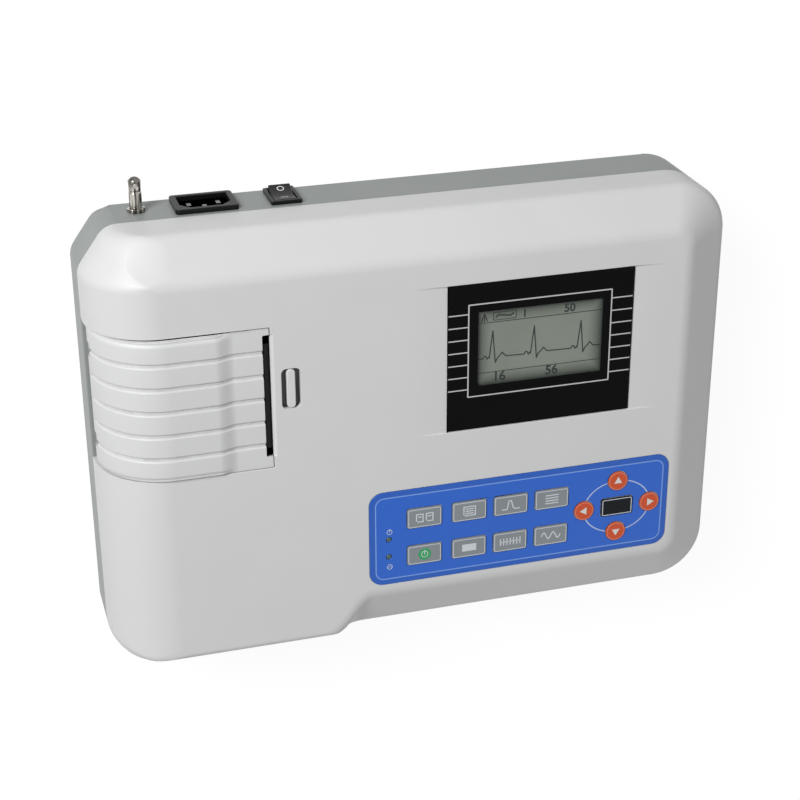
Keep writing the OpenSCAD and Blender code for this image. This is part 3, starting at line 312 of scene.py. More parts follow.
def joined(name, *objects):
    choose(*objects)
    if len(objects) > 1:
        bpy.ops.object.join()
    bpy.context.object.name = bpy.context.object.data.name = name
    return bpy.context.object


def soften(obj, width, segments=2, angle=30, where=None):  # rounds the sharper edges
    cage = bmesh.new()
    cage.from_mesh(obj.data)
    names = cage.edges.layers.float
    layer = names.get("bevel_weight_edge") or names.new("bevel_weight_edge")
    for edge in cage.edges:
        sharp = len(edge.link_faces) == 2 and edge.calc_face_angle() > radians(angle)
        middle = plan((edge.verts[0].co + edge.verts[1].co) / 2)
        edge[layer] = float(sharp and (where is None or where(*middle)))
    cage.to_mesh(obj.data)
    cage.free()
    modify(obj, "BEVEL", width=width * mm, segments=segments, limit_method="WEIGHT",
           use_clamp_overlap=False)
    choose(obj)
    bpy.ops.object.shade_smooth_by_angle(angle=radians(35))
    return modify(obj, "WEIGHTED_NORMAL", keep_sharp=True, weight=60)


def cleanCopy(node):  # a CAD node's own form, with its loose corners merged
    obj = linked(node + "_soft", frame["nodes"][node].data.copy())
    editing(obj)
    bpy.ops.mesh.select_all(action="SELECT")
    bpy.ops.mesh.remove_doubles(threshold=2e-6)
    bpy.ops.mesh.dissolve_limited(angle_limit=radians(0.5))
    editing(obj, False)
    return obj


def finishPiece(obj, name, body, slot, paint, *replaced):
    obj.name = obj.data.name = name
    obj.data.materials.clear()
    obj.data.materials.append(paint)
    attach(obj, body)
    if replaced:
        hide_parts(*replaced)
    return obj


# Openings are given by two corners of the plan; the last two seats by their middle and size.
upperShell = dict(
    wide=315, deep=220, seam=35, crease=57.5, face=71.5, wall=2.5, leftRound=33,
    bandRear=19.5, bandRight=23.5, bandFront=24, taper=14,
    frontRight=26, rearRight=25, faceCorner=8, frontLeft=12, frontLeftReach=16, cornerSteps=14,
    blockLean=3, sweepTop=(109, 131), sweepFoot=(117.5, 127.5), sweepSteps=14,
    faceSoft=3.6, wallSoft=3.4, taperSoft=3, tipSoft=6, tipShare=0.81, cutSoft=0.35,
    doorway=((-1, 102.9), (81.9, 175.5)), doorwayFoot=20,
    slitLip=((80.9, 109), (84.13, 171.8)), slitLipDeep=1.4, slitLipSlope=2.23,
    sunkBand=((129.85, 109.05), (300.75, 185.55)), sunkBandDeep=0.8, sunkBandSlope=38.25,
    panelSeat=((168.02, 108.97), (262.58, 185.63)), panelFloor=69.9, windowRoom=0.1,
    keypadSeat=((207.5, 54.9), (159.1, 52.3)), keypadRound=7.15, keypadFloor=71,
    latchPocket=((91.2, 143.2), (9.1, 20.5)), latchRound=2.5,
    keyHole=3.5, lampHole=1.65, lampHoles=((138, 44.5), (138, 54.3)),
    bosses=((16, 70), (16, 180), (139, 12), (126, 204), (301, 58), (277, 208)), boss=4, bossTop=59,
    railFront=(127.45, 157.25), railWide=1.5, railLeft=90.6, railRight=101.3, railFoot=66.7,
    levels=(35, 38.5, 41, 43.5, 46, 48.5, 51, 53, 54.1, 55, 55.9, 56.7, 57.5, 58.3, 59.1, 60.2, 62, 64,
            65.8, 67.2, 68.4, 69.3, 70, 70.55, 70.95, 71.2, 71.37, 71.46, 71.5))


def curve(a, mid, b, steps=4):  # a corner at mid, rounded from a to b
    return [tuple((1 - t) ** 2 * p + 2 * t * (1 - t) * q + t * t * r for p, q, r in zip(a, mid, b))
            for t in (i / steps for i in range(steps + 1))]


def arc(x, y, radius, fromAngle, toAngle, steps):
    turns = [radians(fromAngle + (toAngle - fromAngle) * i / steps) for i in range(steps + 1)]
    return [(x + radius * cos(turn), y + radius * sin(turn)) for turn in turns]


def bandInset(z, run):  # how far a wall has drawn in at height z, with both its creases rounded
    u = upperShell
    crease, face = u["crease"], u["face"]
    slope = hypot(run, face - crease)
    across, up = run / slope, (face - crease) / slope
    low, high = u["wallSoft"], u["faceSoft"]
    if z <= crease - low:
        return 0
    if z < crease + low * up:
        a, b, c = low * (up - 1), 2 * low, crease - low - z
        t = (sqrt(b * b - 4 * a * c) - b) / (2 * a)
        return t * t * low * across
    if z < face - high * up:
        return (z - crease) / (face - crease) * run
    t = 1 - sqrt(max(face - z, 0) / (high * up))
    return (1 - t) ** 2 * (run - high * across) + 2 * t * (1 - t) * run + t * t * (run + high)


def shellRing(z):  # the outline at height z, anticlockwise from the front left corner
    u = upperShell
    lift = max(z - u["face"] + u["leftRound"], 0)
    left = u["leftRound"] - sqrt(max(u["leftRound"] ** 2 - lift ** 2, 0))
    right = u["wide"] - bandInset(z, u["bandRight"])
    rear = u["deep"] - bandInset(z, u["bandRear"])
    front, band = bandInset(z, u["blockLean"]), bandInset(z, u["bandFront"])
    share = min(max(z - u["crease"], 0) / (u["face"] - u["crease"]), 1)
    extra = front - u["blockLean"] * share
    corner = u["frontLeft"] - (u["frontLeft"] - u["faceSoft"]) * min(left / u["frontLeftReach"], 1)
    ring = arc(left + corner, front + corner, corner, 180, 270, 8)
    start, end = (foot + (top - foot) * share - extra
                  for foot, top in zip(u["sweepFoot"], u["sweepTop"]))
    for i in range(u["sweepSteps"] + 1):
        t = i / u["sweepSteps"]
        ring.append((start + (end - start) * t, front + (band - front) * t * t * (3 - 2 * t)))
    frontRight = u["frontRight"] + (u["faceCorner"] - u["frontRight"]) * share
    rearRight = u["rearRight"] + (u["faceCorner"] - u["rearRight"]) * share
    ring += arc(right - frontRight, band + frontRight, frontRight, -90, 0, u["cornerSteps"])
    ring += arc(right - rearRight, rear - rearRight, rearRight, 0, 90, u["cornerSteps"])

    def taper(y):  # the left side's rounding tightens towards the rear wall
        radius = u["leftRound"] - u["taper"] * max(y - rim, 0) / u["bandRear"]
        return u["leftRound"] - sqrt(max(radius ** 2 - lift ** 2, 0))

    rim = u["deep"] - u["bandRear"]
    soft, room = u["taperSoft"], 0.4 * max(rear - rim, 0)
    short, tipShort = min(soft, room), min(u["tipSoft"] * u["tipShare"], room)
    tip, bend, steps = taper(rear), min(rim, rear), 8
    ring += curve((tip + u["tipSoft"], rear), (tip, rear), (taper(rear - tipShort), rear - tipShort), 6)
    for i in range(1, steps):
        y = rear - tipShort + (bend + short - rear + tipShort) * i / steps
        ring.append((taper(y), y))
    ring += curve((taper(bend + short), bend + short), (left, bend), (left, bend - soft))
    return [at(x, y, z) for x, y in ring]


def modelShellForm():
    rings = [shellRing(z) for z in upperShell["levels"]]
    count = len(rings[0])
    sides = [(level * count + i, level * count + (i + 1) % count,
              (level + 1) * count + (i + 1) % count, (level + 1) * count + i)
             for level in range(len(rings) - 1) for i in range(count)]
    face = tuple(range((len(rings) - 1) * count, len(rings) * count))
    mesh = bpy.data.meshes.new("upperShell")
    mesh.from_pydata([point for ring in rings for point in ring], [], sides + [face])
    shell = linked("upperShell", mesh)
    editing(shell)
    bpy.ops.mesh.select_all(action="SELECT")
    bpy.ops.mesh.remove_doubles(threshold=2e-5)
    editing(shell, False)
    return shell


def cutShell(shell):  # wall, openings and recesses, and the bosses and rails inside
    u = upperShell
    modify(shell, "SOLIDIFY", thickness=u["wall"] * mm, offset=-1)
    face, above, far = u["face"], u["face"] + 1, 99

    def corners(name, low, high):
        return [(*place, z) for place, z in zip(u[name], (low, high))]

    (left, front), (right, rear) = [plan(corner)[:2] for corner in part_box("display_lens")]
    room, slope = u["windowRoom"], u["sunkBandSlope"]
    cutAway(shell,
            block("doorway", *corners("doorway", u["doorwayFoot"], far)),
            slopedBlock("slitLip", *corners("slitLip", face - u["slitLipDeep"], above),
                        right=-u["slitLipSlope"]),
            slopedBlock("sunkBand", *corners("sunkBand", face - u["sunkBandDeep"], above), slope, -slope),
            block("panelSeat", *corners("panelSeat", u["panelFloor"], far)),
            block("window", (left - room, front - room, 50), (right + room, rear + room, far)),
            roundedBlock("keypadSeat", *u["keypadSeat"], u["keypadRound"], u["keypadFloor"], far),
            roundedBlock("latchPocket", *u["latchPocket"], u["latchRound"], 50, far))
    keys = [node for node in frame["nodes"] if node.startswith("key_") and node != "key_board"]
    holes = [(middleOf(node), u["keyHole"]) for node in keys]
    for (x, y), radius in holes + [(place, u["lampHole"]) for place in u["lampHoles"]]:
        cutAway(shell, rod("stemHole", (x, y, 60), (x, y, 80), radius, 24))

    (doorLeft, doorFront), (doorRight, doorRear) = u["doorway"]
    soften(shell, u["cutSoft"], 2, 40, lambda x, y, z: z > face - 1.6 or z < u["seam"] + 0.2 or
           near(x, doorRight, 0.2) or
           doorLeft < x < 70 and (near(y, doorFront, 0.1) or near(y, doorRear, 0.1)))
    extras = [rod("boss", (x, y, u["seam"]), (x, y, u["bossTop"]), u["boss"]) for x, y in u["bosses"]]
    extras += [block("rail", (u["railLeft"], y, u["railFoot"]),
                     (u["railRight"], y + u["railWide"], face - u["wall"] + 0.2)) for y in u["railFront"]]
    for extra in extras:
        soften(extra, 0.3)
    return joined("upperShell", shell, *extras)


printerDoor = dict(
    front=103.4, rear=175.0, bands=6, groove=1.4, grooveDeep=0.8, bandSoft=1.0, overlap=0.2,
    left=1.5, top=74, round=33, roundSteps=22, low=40.2, face=71.5, right=81.4, thick=2.2, sideTop=45,
    fallFrom=55.6, fallTo=64.8, fallSteps=12, endSteps=(0, 0.25, 0.6, 1.1, 1.7, 2.4, 3.2),
    slit=78.2, slitFront=109.0, slitRear=171.8, slitRound=0.8, soft=0.3,
    hinge=(5.7, 40.2), barrel=4.2, lugs=(112.4, 159), lug=7, lugRoom=0.3, lugReach=5.2, lugHigh=4.6,
    cheeks=(108.0, 166.5), cheek=2.4, cheekSide=((66.2, 56.4), (76.8, 69.6)), cheekRound=3.4,
    bore=(72.2, 61), boreRadius=1.9, catch=((73.8, 104.6, 64.7), (77.3, 107.6, 70)), catchSlope=2.0,
    ribs=(105.4, 171.5), rib=1.5, ribThick=2.4, ribEnd=63)


def doorBar(name, y0, y1, sink, thick, ends=()):  # the door's section run from y0 to y1, sunk by sink
    d = printerDoor
    left, top = d["left"] + sink, d["top"] - sink
    strip = block(name, (left, y0, d["low"]), (d["right"], y1, top))
    editing(strip)
    edgesWhere(lambda x, y, z: near(x, left) and near(z, top))
    bevelPicked(d["round"] - sink, d["roundSteps"])
    steps = d["fallSteps"]
    falls = [(d["fallFrom"] + (d["fallTo"] - d["fallFrom"]) * i / steps, i / steps)
             for i in range(steps + 1)]
    for place, t in falls:
        pick("FACE", lambda f: f.normal.z > 0.99)
        bisect((place, 0, 0), (1, 0, 0))
    fall = top - (d["face"] - sink)
    rings = []  # places where the raised part is lower, near the door's ends
    for end, side in ends:
        for step in d["endSteps"]:
            rings.append((end - side * step, max(1 - (1 - step / d["endSteps"][-1]) ** 2, 0.04)))
            pick("FACE", lambda f: True)
            bisect((0, rings[-1][0], 0), (0, 1, 0))

    def height(y):
        return next((share for place, share in rings if near(place, y, 0.02)), 1)

    for share in {1, *(share for place, share in rings)}:
        vertsWhere(lambda x, y, z: z > d["sideTop"] and height(y) == share)
        shift(z=-fall * (1 - share))
        for place, t in falls + [(d["right"], 1)]:
            vertsWhere(lambda x, y, z: z > d["sideTop"] and height(y) == share and near(x, place))
            shift(z=-fall * share * t * t * (3 - 2 * t))
    pick("FACE", lambda f: f.normal.x > 0.99 or f.normal.z < -0.99 or abs(f.normal.y) > 0.99)
    bpy.ops.mesh.delete(type="FACE")
    editing(strip, False)
    return modify(strip, "SOLIDIFY", thickness=thick * mm, offset=-1, use_even_offset=not ends)


def modelDoor():
    d = printerDoor
    front, rear, lap, soft = d["front"], d["rear"], d["overlap"], d["soft"]
    pitch, half = (rear - front) / d["bands"], d["groove"] / 2
    pieces = [doorBar("skin", front + lap, rear - lap, d["grooveDeep"], d["thick"] - d["grooveDeep"])]
    for i in range(d["bands"]):
        low, high, ends = front + i * pitch + half, front + (i + 1) * pitch - half, []
        if i == 0:
            low, ends = front, [(front, -1)]
        if i == d["bands"] - 1:
            high, ends = rear, [(rear, 1)]
        pieces.append(doorBar("band", low, high, 0, d["thick"] - lap, ends))
    slitWide, slitLong = 10, d["slitRear"] - d["slitFront"]
    slitMiddle = (d["slit"] + slitWide / 2, (d["slitFront"] + d["slitRear"]) / 2)
    for piece in pieces:
        cutAway(piece, roundedBlock("slit", slitMiddle, (slitWide, slitLong), d["slitRound"], 30, 90, 3))
    hx, hz = d["hinge"]
    pieces.append(rod("barrel", (hx, front + 0.1, hz), (hx, rear - 0.1, hz), d["barrel"]))
    room, reach = d["lugRoom"], d["lugReach"]
    for piece in pieces:
        cutAway(piece, *[block("lugGap", (0, y - room, hz - reach),
                               (hx + reach, y + d["lug"] + room, hz + d["lugHigh"])) for y in d["lugs"]])

    endLong = d["endSteps"][-1] + 0.2
    for piece in pieces[1:-1]:  # the bands, away from the soft ends and the slit
        soften(piece, d["bandSoft"], 4, 40, lambda x, y, z: z > d["sideTop"] + 0.2 and
               front + endLong < y < rear - endLong and x < d["slit"] - 0.1)
    soften(pieces[0], soft, 1, 40)
    soften(pieces[-1], soft, 2, 40)
    (left, foot), (right, top) = d["cheekSide"]
    boreX, boreZ = d["bore"]
    for y in d["cheeks"]:
        cheek = block("cheek", (left, y, foot), (right, y + d["cheek"], top))
        editing(cheek)
        edgesWhere(lambda px, py, pz: near(pz, foot) and (near(px, left) or near(px, right)))
        bevelPicked(d["cheekRound"], 4)
        editing(cheek, False)
        bore = rod("bore", (boreX, y - 1, boreZ), (boreX, y + 4, boreZ), d["boreRadius"])
        pieces.append(soften(cutAway(cheek, bore), 0.25))
    pieces.append(soften(slopedBlock("catch", *d["catch"], d["catchSlope"]), soft))
    for y in d["ribs"]:
        rib = doorBar("rib", y, y + d["rib"], d["thick"] - 0.1, d["ribThick"])
        editing(rib)
        bpy.ops.mesh.select_all(action="SELECT")
        bisect((d["ribEnd"], 0, 0), (1, 0, 0), clear_outer=True, use_fill=True)
        editing(rib, False)
        pieces.append(rib)
    return joined("printerDoor", *pieces)


def mouldedLook(paint, colour, rough, grain=0.5, mottle=0.05):  # colour, roughness and relief
    cloud = paint.noise(38, 3)
    speck = paint.noise(1.5, 3, 0.7).step(0.62, 0.76)
    scuff = paint.noise(6, 5, 0.65, (1, 0.2, 1)).step(0.60, 0.74)
    if isinstance(colour, Field):
        base, dark = colour, toned(0.05, 0.05, 0.05)
    else:
        base, dark = paint.tint(cloud, darker(colour, mottle), colour), darker(colour, 0.4)
    base = paint.tint(speck * 0.12, base, dark)
    return base, (cloud - 0.5) * 0.16 + scuff * 0.1 + rough, paint.noise(grain, 2) + scuff * 0.2


# Moulded plastic or rubber: roughness, size of the grain and its depth in mm, mottle, gloss.
def moulded(name, colour, rough, grain=0.5, depth=0.006, mottle=0.05, gloss=0.5):
    paint = Paint(name)
    return paint.finish(*mouldedLook(paint, colour, rough, grain, mottle), depth, Specular_IOR_Level=gloss)


def metal(name, colour, rough, streak=(1, 1, 12), size=2.5, dark=0.5):
    paint = Paint(name)
    line = paint.noise(size, 4, 0.6, streak)
    stain = paint.noise(5, 4, 0.7).step(0.5, 0.75)
    base = paint.tint(stain * 0.6, colour, darker(colour, dark))
    return paint.finish(base, line * 0.25 + stain * 0.15 + rough, line, 0.004, Metallic=1.0)


nickel = dict(bright=toned(0.60, 0.57, 0.52), dark=toned(0.05, 0.046, 0.042),
              postEnd=(231, 234), inletSide=(44, 46))


def nickelPlate():  # polished, with painted dark reflections as streaks along it, a painted dark reflection on the earth post's far end and painted shade on the inlet pins
    paint = Paint("nickelPlate")
    x, y, z = paint.axes()
    # painted dark reflections, as streaks that run along the post
    run = paint.noise(2.2, 3, 0.6, (1.6, 0.12, 1.6)).step(0.42, 0.56)
    ring = paint.noise(0.8, 2, 0.5, (0.2, 3, 0.2))
    # painted dark reflection over the post's far end, and painted shade on the inlet pins in their recess
    paintedShadeAndReflection = (y.step(*nickel["postEnd"]) * 0.75).atLeast(x.step(*nickel["inletSide"]) * 0.8)
    base = paint.tint((run * 0.9).atLeast(paintedShadeAndReflection), nickel["bright"], nickel["dark"])
    return paint.finish(base, ring * 0.15 + 0.1, ring, 0.006, Metallic=1.0)


def headMetal():  # steel, with a dark heating edge at the print head's top
    paint = Paint("headMetal")
    edge = paint.axes()[2].step(61, 62.5)
    line = paint.noise(2.5, 4, 0.6, (1, 1, 12))
    base = paint.tint(edge, paint.tint(line, toned(0.46, 0.46, 0.47), toned(0.54, 0.54, 0.55)),
                      toned(0.006, 0.006, 0.007))
    return paint.finish(base, line * 0.2 + 0.3, line, 0.004, Metallic=0.6)


def doorPlastic():  # darker in patches along the grooves
    paint = Paint("whiteDoor")
    d = printerDoor
    pitch = (d["rear"] - d["front"]) / d["bands"]
    phase = (paint.axes()[1] - d["front"]).share(pitch)
    away = (0.5 - abs(phase - 0.5)) * pitch
    # darker in patches along the grooves
    grooveDarkening = (1 - away.step(0.2, 1.3)) * paint.noise(9, 4, 0.7).step(0.3, 0.8)
    base, rough, height = mouldedLook(paint, toned(0.648, 0.652, 0.651), 0.46)
    return paint.finish(paint.tint(grooveDarkening * 0.35, base, toned(0.33, 0.32, 0.30)), rough, height, 0.006)


def shellPlastic():  # darker in patches just above the seam, and worn where hands touch it
    paint = Paint("whiteShell")
    z = paint.axes()[2]
    base, rough, height = mouldedLook(paint, toned(0.652, 0.655, 0.654), 0.47)
    # darker in patches just above the seam
    low = (1 - z.step(35.1, 36.4)) * paint.noise(14, 4, 0.7).step(0.25, 0.8)
    touch = paint.noise(22, 4, 0.7).step(0.5, 0.8) * (1 - z.step(30, 74) * 0.4)
    base = paint.tint(low * 0.4, base, toned(0.35, 0.34, 0.32))
    return paint.finish(base, rough + touch * 0.07, height, 0.006)


def latchPlastic():  # painted shade: near black low in the slot, on the plate under it and on the ridge's sides
    paint = Paint("whiteLatch")
    base, rough, height = mouldedLook(paint, toned(0.67, 0.67, 0.668), 0.36)
    # painted shade, near black below the top of the slot
    deep = 1 - paint.axes()[2].step(68.9, 71.1)
    return paint.finish(paint.tint(deep * 0.97, base, toned(0.012, 0.012, 0.012)), rough, height, 0.006)


def framed(x, y, centre, half, radius, line):  # a rounded outline, and the distance from it
    dx = abs(x - centre[0]) - (half[0] - radius)
    dy = abs(y - centre[1]) - (half[1] - radius)
    outer = dx.atLeast(0).math("POWER", 2) + dy.atLeast(0).math("POWER", 2)
    away = outer.math("SQRT") + dx.atLeast(dy).atMost(0) - radius
    return 1 - abs(away).step(line / 2, line / 2 + 0.15), away


displayPanel = dict(middle=(214.9, 150.65), half=(36.4, 24.05), corner=0.2, line=0.5,
                    rowMiddle=150.35, rowPitch=6.55, rowsHalf=20.6, rowLine=(0.22, 0.38), soft=0.25,
                    window=((183.5, 131.75), (247.1, 170.45)))


def panelBlack():  # with a pale frame round the window and short rules at its sides
    paint = Paint("blackPanel")
    p = displayPanel
    x, y, z = paint.axes()
    frameLine = framed(x, y, p["middle"], p["half"], p["corner"], p["line"])[0]
    fromMiddle, sideways = y - p["rowMiddle"], abs(x - p["middle"][0])
    row = abs((fromMiddle * (1 / p["rowPitch"]) + 0.5).math("FRACT") - 0.5) * p["rowPitch"]
    within = 1 - abs(fromMiddle).step(p["rowsHalf"], p["rowsHalf"] + 0.2)
    bars = (1 - row.step(*p["rowLine"])) * within * sideways.step(p["half"][0], p["half"][0] + 0.2)
    printing = frameLine.atLeast(bars)
    dust = paint.noise(0.8, 3, 0.7).step(0.66, 0.8)
    base = paint.tint(dust * 0.15, toned(0.0022, 0.0022, 0.0026), toned(0.04, 0.04, 0.04))
    smear = paint.noise(16, 4, 0.7, (1, 0.5, 1))
    return paint.finish(paint.tint(printing, base, toned(0.55, 0.56, 0.56)), smear * 0.2 + 0.12,
                        paint.noise(25, 1) + printing * 0.1, 0.01, Specular_IOR_Level=0.05)


keypadSheet = dict(half=(76.3, 22.9), corner=4.4, line=0.45, ring=(259.1, 54.7), ringHalf=(17.9, 14.6),
                   blue=toned(0.016, 0.118, 0.57), edge=toned(0.013, 0.10, 0.48))


def keypadBlue():  # with a pale outline, and a pale ring round the arrow keys
    paint = Paint("keypadBlue")
    k = keypadSheet
    x, y, z = paint.axes()
    line, away = framed(x, y, upperShell["keypadSeat"][0], k["half"], k["corner"], k["line"])
    ringX, ringY = ((axis - middle) * (1 / half)
                    for axis, middle, half in zip((x, y), k["ring"], k["ringHalf"]))
    ring = 1 - abs((ringX * ringX + ringY * ringY).math("SQRT") - 1).step(0.014, 0.024)
    base = paint.tint(away.step(0, 0.1), k["blue"], k["edge"])
    base, rough, height = mouldedLook(paint, base, 0.34, 0.6)
    base = paint.tint(line * 0.85, base, toned(0.22, 0.38, 0.78))
    base = paint.tint(ring * 0.85, base, toned(0.55, 0.62, 0.80))
    return paint.finish(base, rough, height + ring * 0.3, 0.006, Specular_IOR_Level=0.45)


screenLook = dict(middle=(215.3, 151.1), half=(31.8, 19.35), fade=(-3, 8.5), pixel=0.5,
                  shade=toned(0.030, 0.040, 0.034), lit=toned(0.262, 0.290, 0.246))


def screenGlass():  # darker towards its edges, with a fine grid of pixels
    paint = Paint("screenGlass")
    s = screenLook
    x, y, z = paint.axes()
    inset = (s["half"][0] - abs(x - s["middle"][0])).atMost(s["half"][1] - abs(y - s["middle"][1]))
    across, along = (abs(axis.share(s["pixel"]) - 0.5) * 2 for axis in (x, y))
    grid = across.atLeast(along).step(0.8, 0.95)
    glow = paint.noise(30, 2)
    lit = paint.tint(inset.step(*s["fade"]) * (glow * 0.3 + 0.8), s["shade"], s["lit"])
    base = paint.tint(grid * 0.1, lit, toned(0.08, 0.09, 0.08))
    return paint.finish(base, glow * 0.1 + 0.3, grid, 0.002, Specular_IOR_Level=0.3)


def clearLens():
    paint = Paint("clearLens")
    smear = paint.noise(12, 4, 0.7, (1, 0.4, 1))
    colour = paint.tint(smear, toned(0.1, 0.1, 0.1), toned(0.2, 0.2, 0.2))
    return paint.finish(colour, smear * 0.1 + 0.04, paint.noise(30, 1), 0.01,
                        Alpha=0.03, Specular_IOR_Level=0.4)


def boardGreen():
    paint = Paint("boardGreen")
    run = paint.node("TexVoronoi", dict(feature="DISTANCE_TO_EDGE"), Vector=paint.place, Scale=140)
    track = 1 - run.step(0.03, 0.06)
    across, along = (abs((axis * 1.4).math("FRACT") - 0.5) for axis in paint.axes()[:2])
    base = paint.tint(track * 0.5, toned(0.006, 0.11, 0.045), toned(0.03, 0.22, 0.08))
    return paint.finish(base, 0.35 + track * 0.1, track + (across + along) * 0.2, 0.02)


def paperGrid():
    paint = Paint("chartPaper")
    plane = paint.axes()[:2]

    def ruled(pitch, wide):
        across, along = (1 - (abs(axis.share(pitch) - 0.5) * pitch).step(wide, wide + 0.06)
                         for axis in plane)
        return across.atLeast(along)

    lines = (ruled(1, 0.05) * 0.35).atLeast(ruled(5, 0.1) * 0.7)
    fibre = paint.noise(0.7, 3, 0.7, (1, 3, 1))
    sheet = paint.tint(fibre, toned(0.74, 0.73, 0.70), toned(0.80, 0.79, 0.77))
    return paint.finish(paint.tint(lines, sheet, toned(0.75, 0.36, 0.34)), fibre * 0.1 + 0.7,
                        fibre, 0.01, Specular_IOR_Level=0.25)


def printed(name, *rgb):
    paint = Paint(name)
    colour, worn = toned(*rgb), paint.noise(0.9, 3, 0.7)
    return paint.finish(paint.tint(worn, darker(colour, 0.12), colour), worn * 0.2 + 0.45, worn, 0.004)


def glowing(name, colour):
    paint = Paint(name)
    core = paint.noise(0.7, 2)
    return paint.finish(paint.tint(core, darker(colour, 0.5), colour), core * 0.1 + 0.12, core, 0.003,
                        Coat_Weight=0.5)


def batteryWrap():
    paint = Paint("batteryWrap")
    wrinkle = paint.noise(6, 4, 0.6, (1, 4, 1))
    seam = 1 - abs(paint.axes()[1] - 38).step(0.4, 0.8)
    base = paint.tint(wrinkle, toned(0.02, 0.09, 0.30), toned(0.03, 0.13, 0.38))
    return paint.finish(paint.tint(seam * 0.5, base, toned(0.01, 0.03, 0.12)), wrinkle * 0.15 + 0.22,
                        wrinkle + seam * 0.3, 0.06)


def tapeYellow():
    paint = Paint("transformerTape")
    lap = (paint.axes()[2] * 0.22).math("FRACT").step(0.0, 0.08)
    base = paint.tint(lap, toned(0.42, 0.22, 0.012), toned(0.62, 0.38, 0.03))
    wrinkle = paint.noise(2.5, 3)
    return paint.finish(base, wrinkle * 0.2 + 0.25, wrinkle * 0.3 + lap, 0.04)


paints = dict(
    white_shell=shellPlastic(), white_door=doorPlastic(), white_latch=latchPlastic(),
    white_tray=moulded("whiteTray", toned(0.55, 0.555, 0.55), 0.45),
    grey_shell=moulded("greyShell", toned(0.268, 0.288, 0.283), 0.46, 0.6, 0.01, 0.07, 0.4),
    grey_cover=moulded("greyCover", toned(0.25, 0.27, 0.265), 0.46, 0.6, 0.01, 0.07, 0.4),
    screws=metal("screwSteel", toned(0.45, 0.45, 0.45), 0.3),
    foot_rubber=moulded("footRubber", toned(0.025, 0.025, 0.026), 0.75, 0.8, 0.03, 0.2, 0.2),
    battery_wrap=batteryWrap(), black_panel=panelBlack(), lens=clearLens(), lcd=screenGlass(),
    keypad_blue=keypadBlue(),
    key_grey=moulded("keyGrey", toned(0.225, 0.253, 0.272), 0.36, 0.6, 0.004, 0.05, 0.45),
    key_orange=moulded("keyOrange", toned(0.60, 0.075, 0.015), 0.34, 0.6, 0.004, 0.05, 0.4),
    key_black=moulded("keyBlack", toned(0.005, 0.007, 0.009), 0.32, 0.6, 0.004, 0.1, 0.12),
    lamps=glowing("lampLens", toned(0.03, 0.10, 0.09)), board_green=boardGreen(),
    transformer_tape=tapeYellow(),
    black_plastic=moulded("blackPlastic", toned(0.006, 0.006, 0.007), 0.34, 0.5, 0.008, 0.2, 0.16),
    black_rocker=moulded("blackRocker", toned(0.006, 0.006, 0.007), 0.24, 0.7, 0.004, 0.2, 0.2),
    nickel=nickelPlate(),
    socket_shell=metal("socketShell", toned(0.50, 0.50, 0.50), 0.28),
    steel=metal("groundSteel", toned(0.60, 0.60, 0.60), 0.18, (1, 9, 1)),
    platen_rubber=moulded("platenRubber", toned(0.02, 0.02, 0.021), 0.62, 0.5, 0.02, 0.2, 0.25),
    white_gear=moulded("gearNylon", toned(0.70, 0.69, 0.64), 0.38, 0.6),
    brass_pinion=metal("pinionBrass", toned(0.72, 0.50, 0.20), 0.22, (1, 9, 1)),
    motor_can=metal("motorCan", toned(0.42, 0.43, 0.44), 0.3),
    head_metal=headMetal(),
    zinc_sheet=metal("zincSheet", toned(0.50, 0.52, 0.55), 0.35, (3, 1, 1), 6, 0.25),
    paper=paperGrid())
print(len(paints), "finishes made")

shell = cutShell(modelShellForm())
finishPiece(shell, "upperShell", "case", "white_shell", paints["white_shell"], "upper_case")
door = modelDoor()
finishPiece(door, "printerDoor", "door", "white_door", paints["white_door"], "printer_door")
print("shell and door modelled,", len(shell.data.polygons), "and", len(door.data.polygons), "faces")


slots = dict(
    grey_shell=["lower_case"], grey_cover=["battery_cover"], white_latch=["door_latch"],
    white_tray=["paper_tray", "paper_spindle"],
    screws=["case_screws", "battery_cover_screws", "board_screws"],
    foot_rubber=["rubber_feet"], battery_wrap=["battery_pack"], black_panel=["display_panel"],
    lens=["display_lens"], lcd=["lcd_module"], keypad_blue=["keypad_sheet"],
    key_grey=["key_lead", "key_start", "key_menu", "key_select", "key_power", "key_stop", "key_speed",
              "key_filter"],
    key_orange=["key_up", "key_down", "key_left", "key_right"], key_black=["key_set"],
    lamps=["status_lamps"], board_green=["key_board", "main_board", "power_board"],
    transformer_tape=["transformer"], black_plastic=["inlet_housing", "switch_housing"],
    black_rocker=["switch_rocker"], nickel=["earth_post", "earth_nut", "inlet_pins"],
    socket_shell=["lead_socket", "jack_posts"], steel=["door_pin", "platen_shaft"],
    platen_rubber=["platen_sleeve"], white_gear=["platen_gear", "idler_gear"],
    brass_pinion=["motor_pinion"], motor_can=["stepper_motor"],
    head_metal=["print_head", "head_springs"], zinc_sheet=["printer_bracket"],
    paper=["paper_roll", "paper_strip"])
edgeSoft = dict(  # width of the rounding in mm, and how many steps it has
    lower_case=(0.5, 2), battery_cover=(0.4, 2), door_latch=(0.5, 3), rubber_feet=(0.7, 3),
    battery_pack=(0.9, 3), keypad_sheet=(0.2, 2), status_lamps=(0.7, 4), transformer=(0.3, 2),
    inlet_housing=(0.5, 3), switch_housing=(0.4, 3), switch_rocker=(0.5, 3), earth_post=(0.3, 3),
    earth_nut=(0.3, 2), lead_socket=(0.2, 2), jack_posts=(0.25, 2), stepper_motor=(0.4, 2),
    paper_tray=(0.25, 2), print_head=(0.2, 2), case_screws=(0.2, 2), battery_cover_screws=(0.2, 2))
for node in slots["key_grey"] + slots["key_orange"] + slots["key_black"]:
    edgeSoft[node] = (0.35, 3)


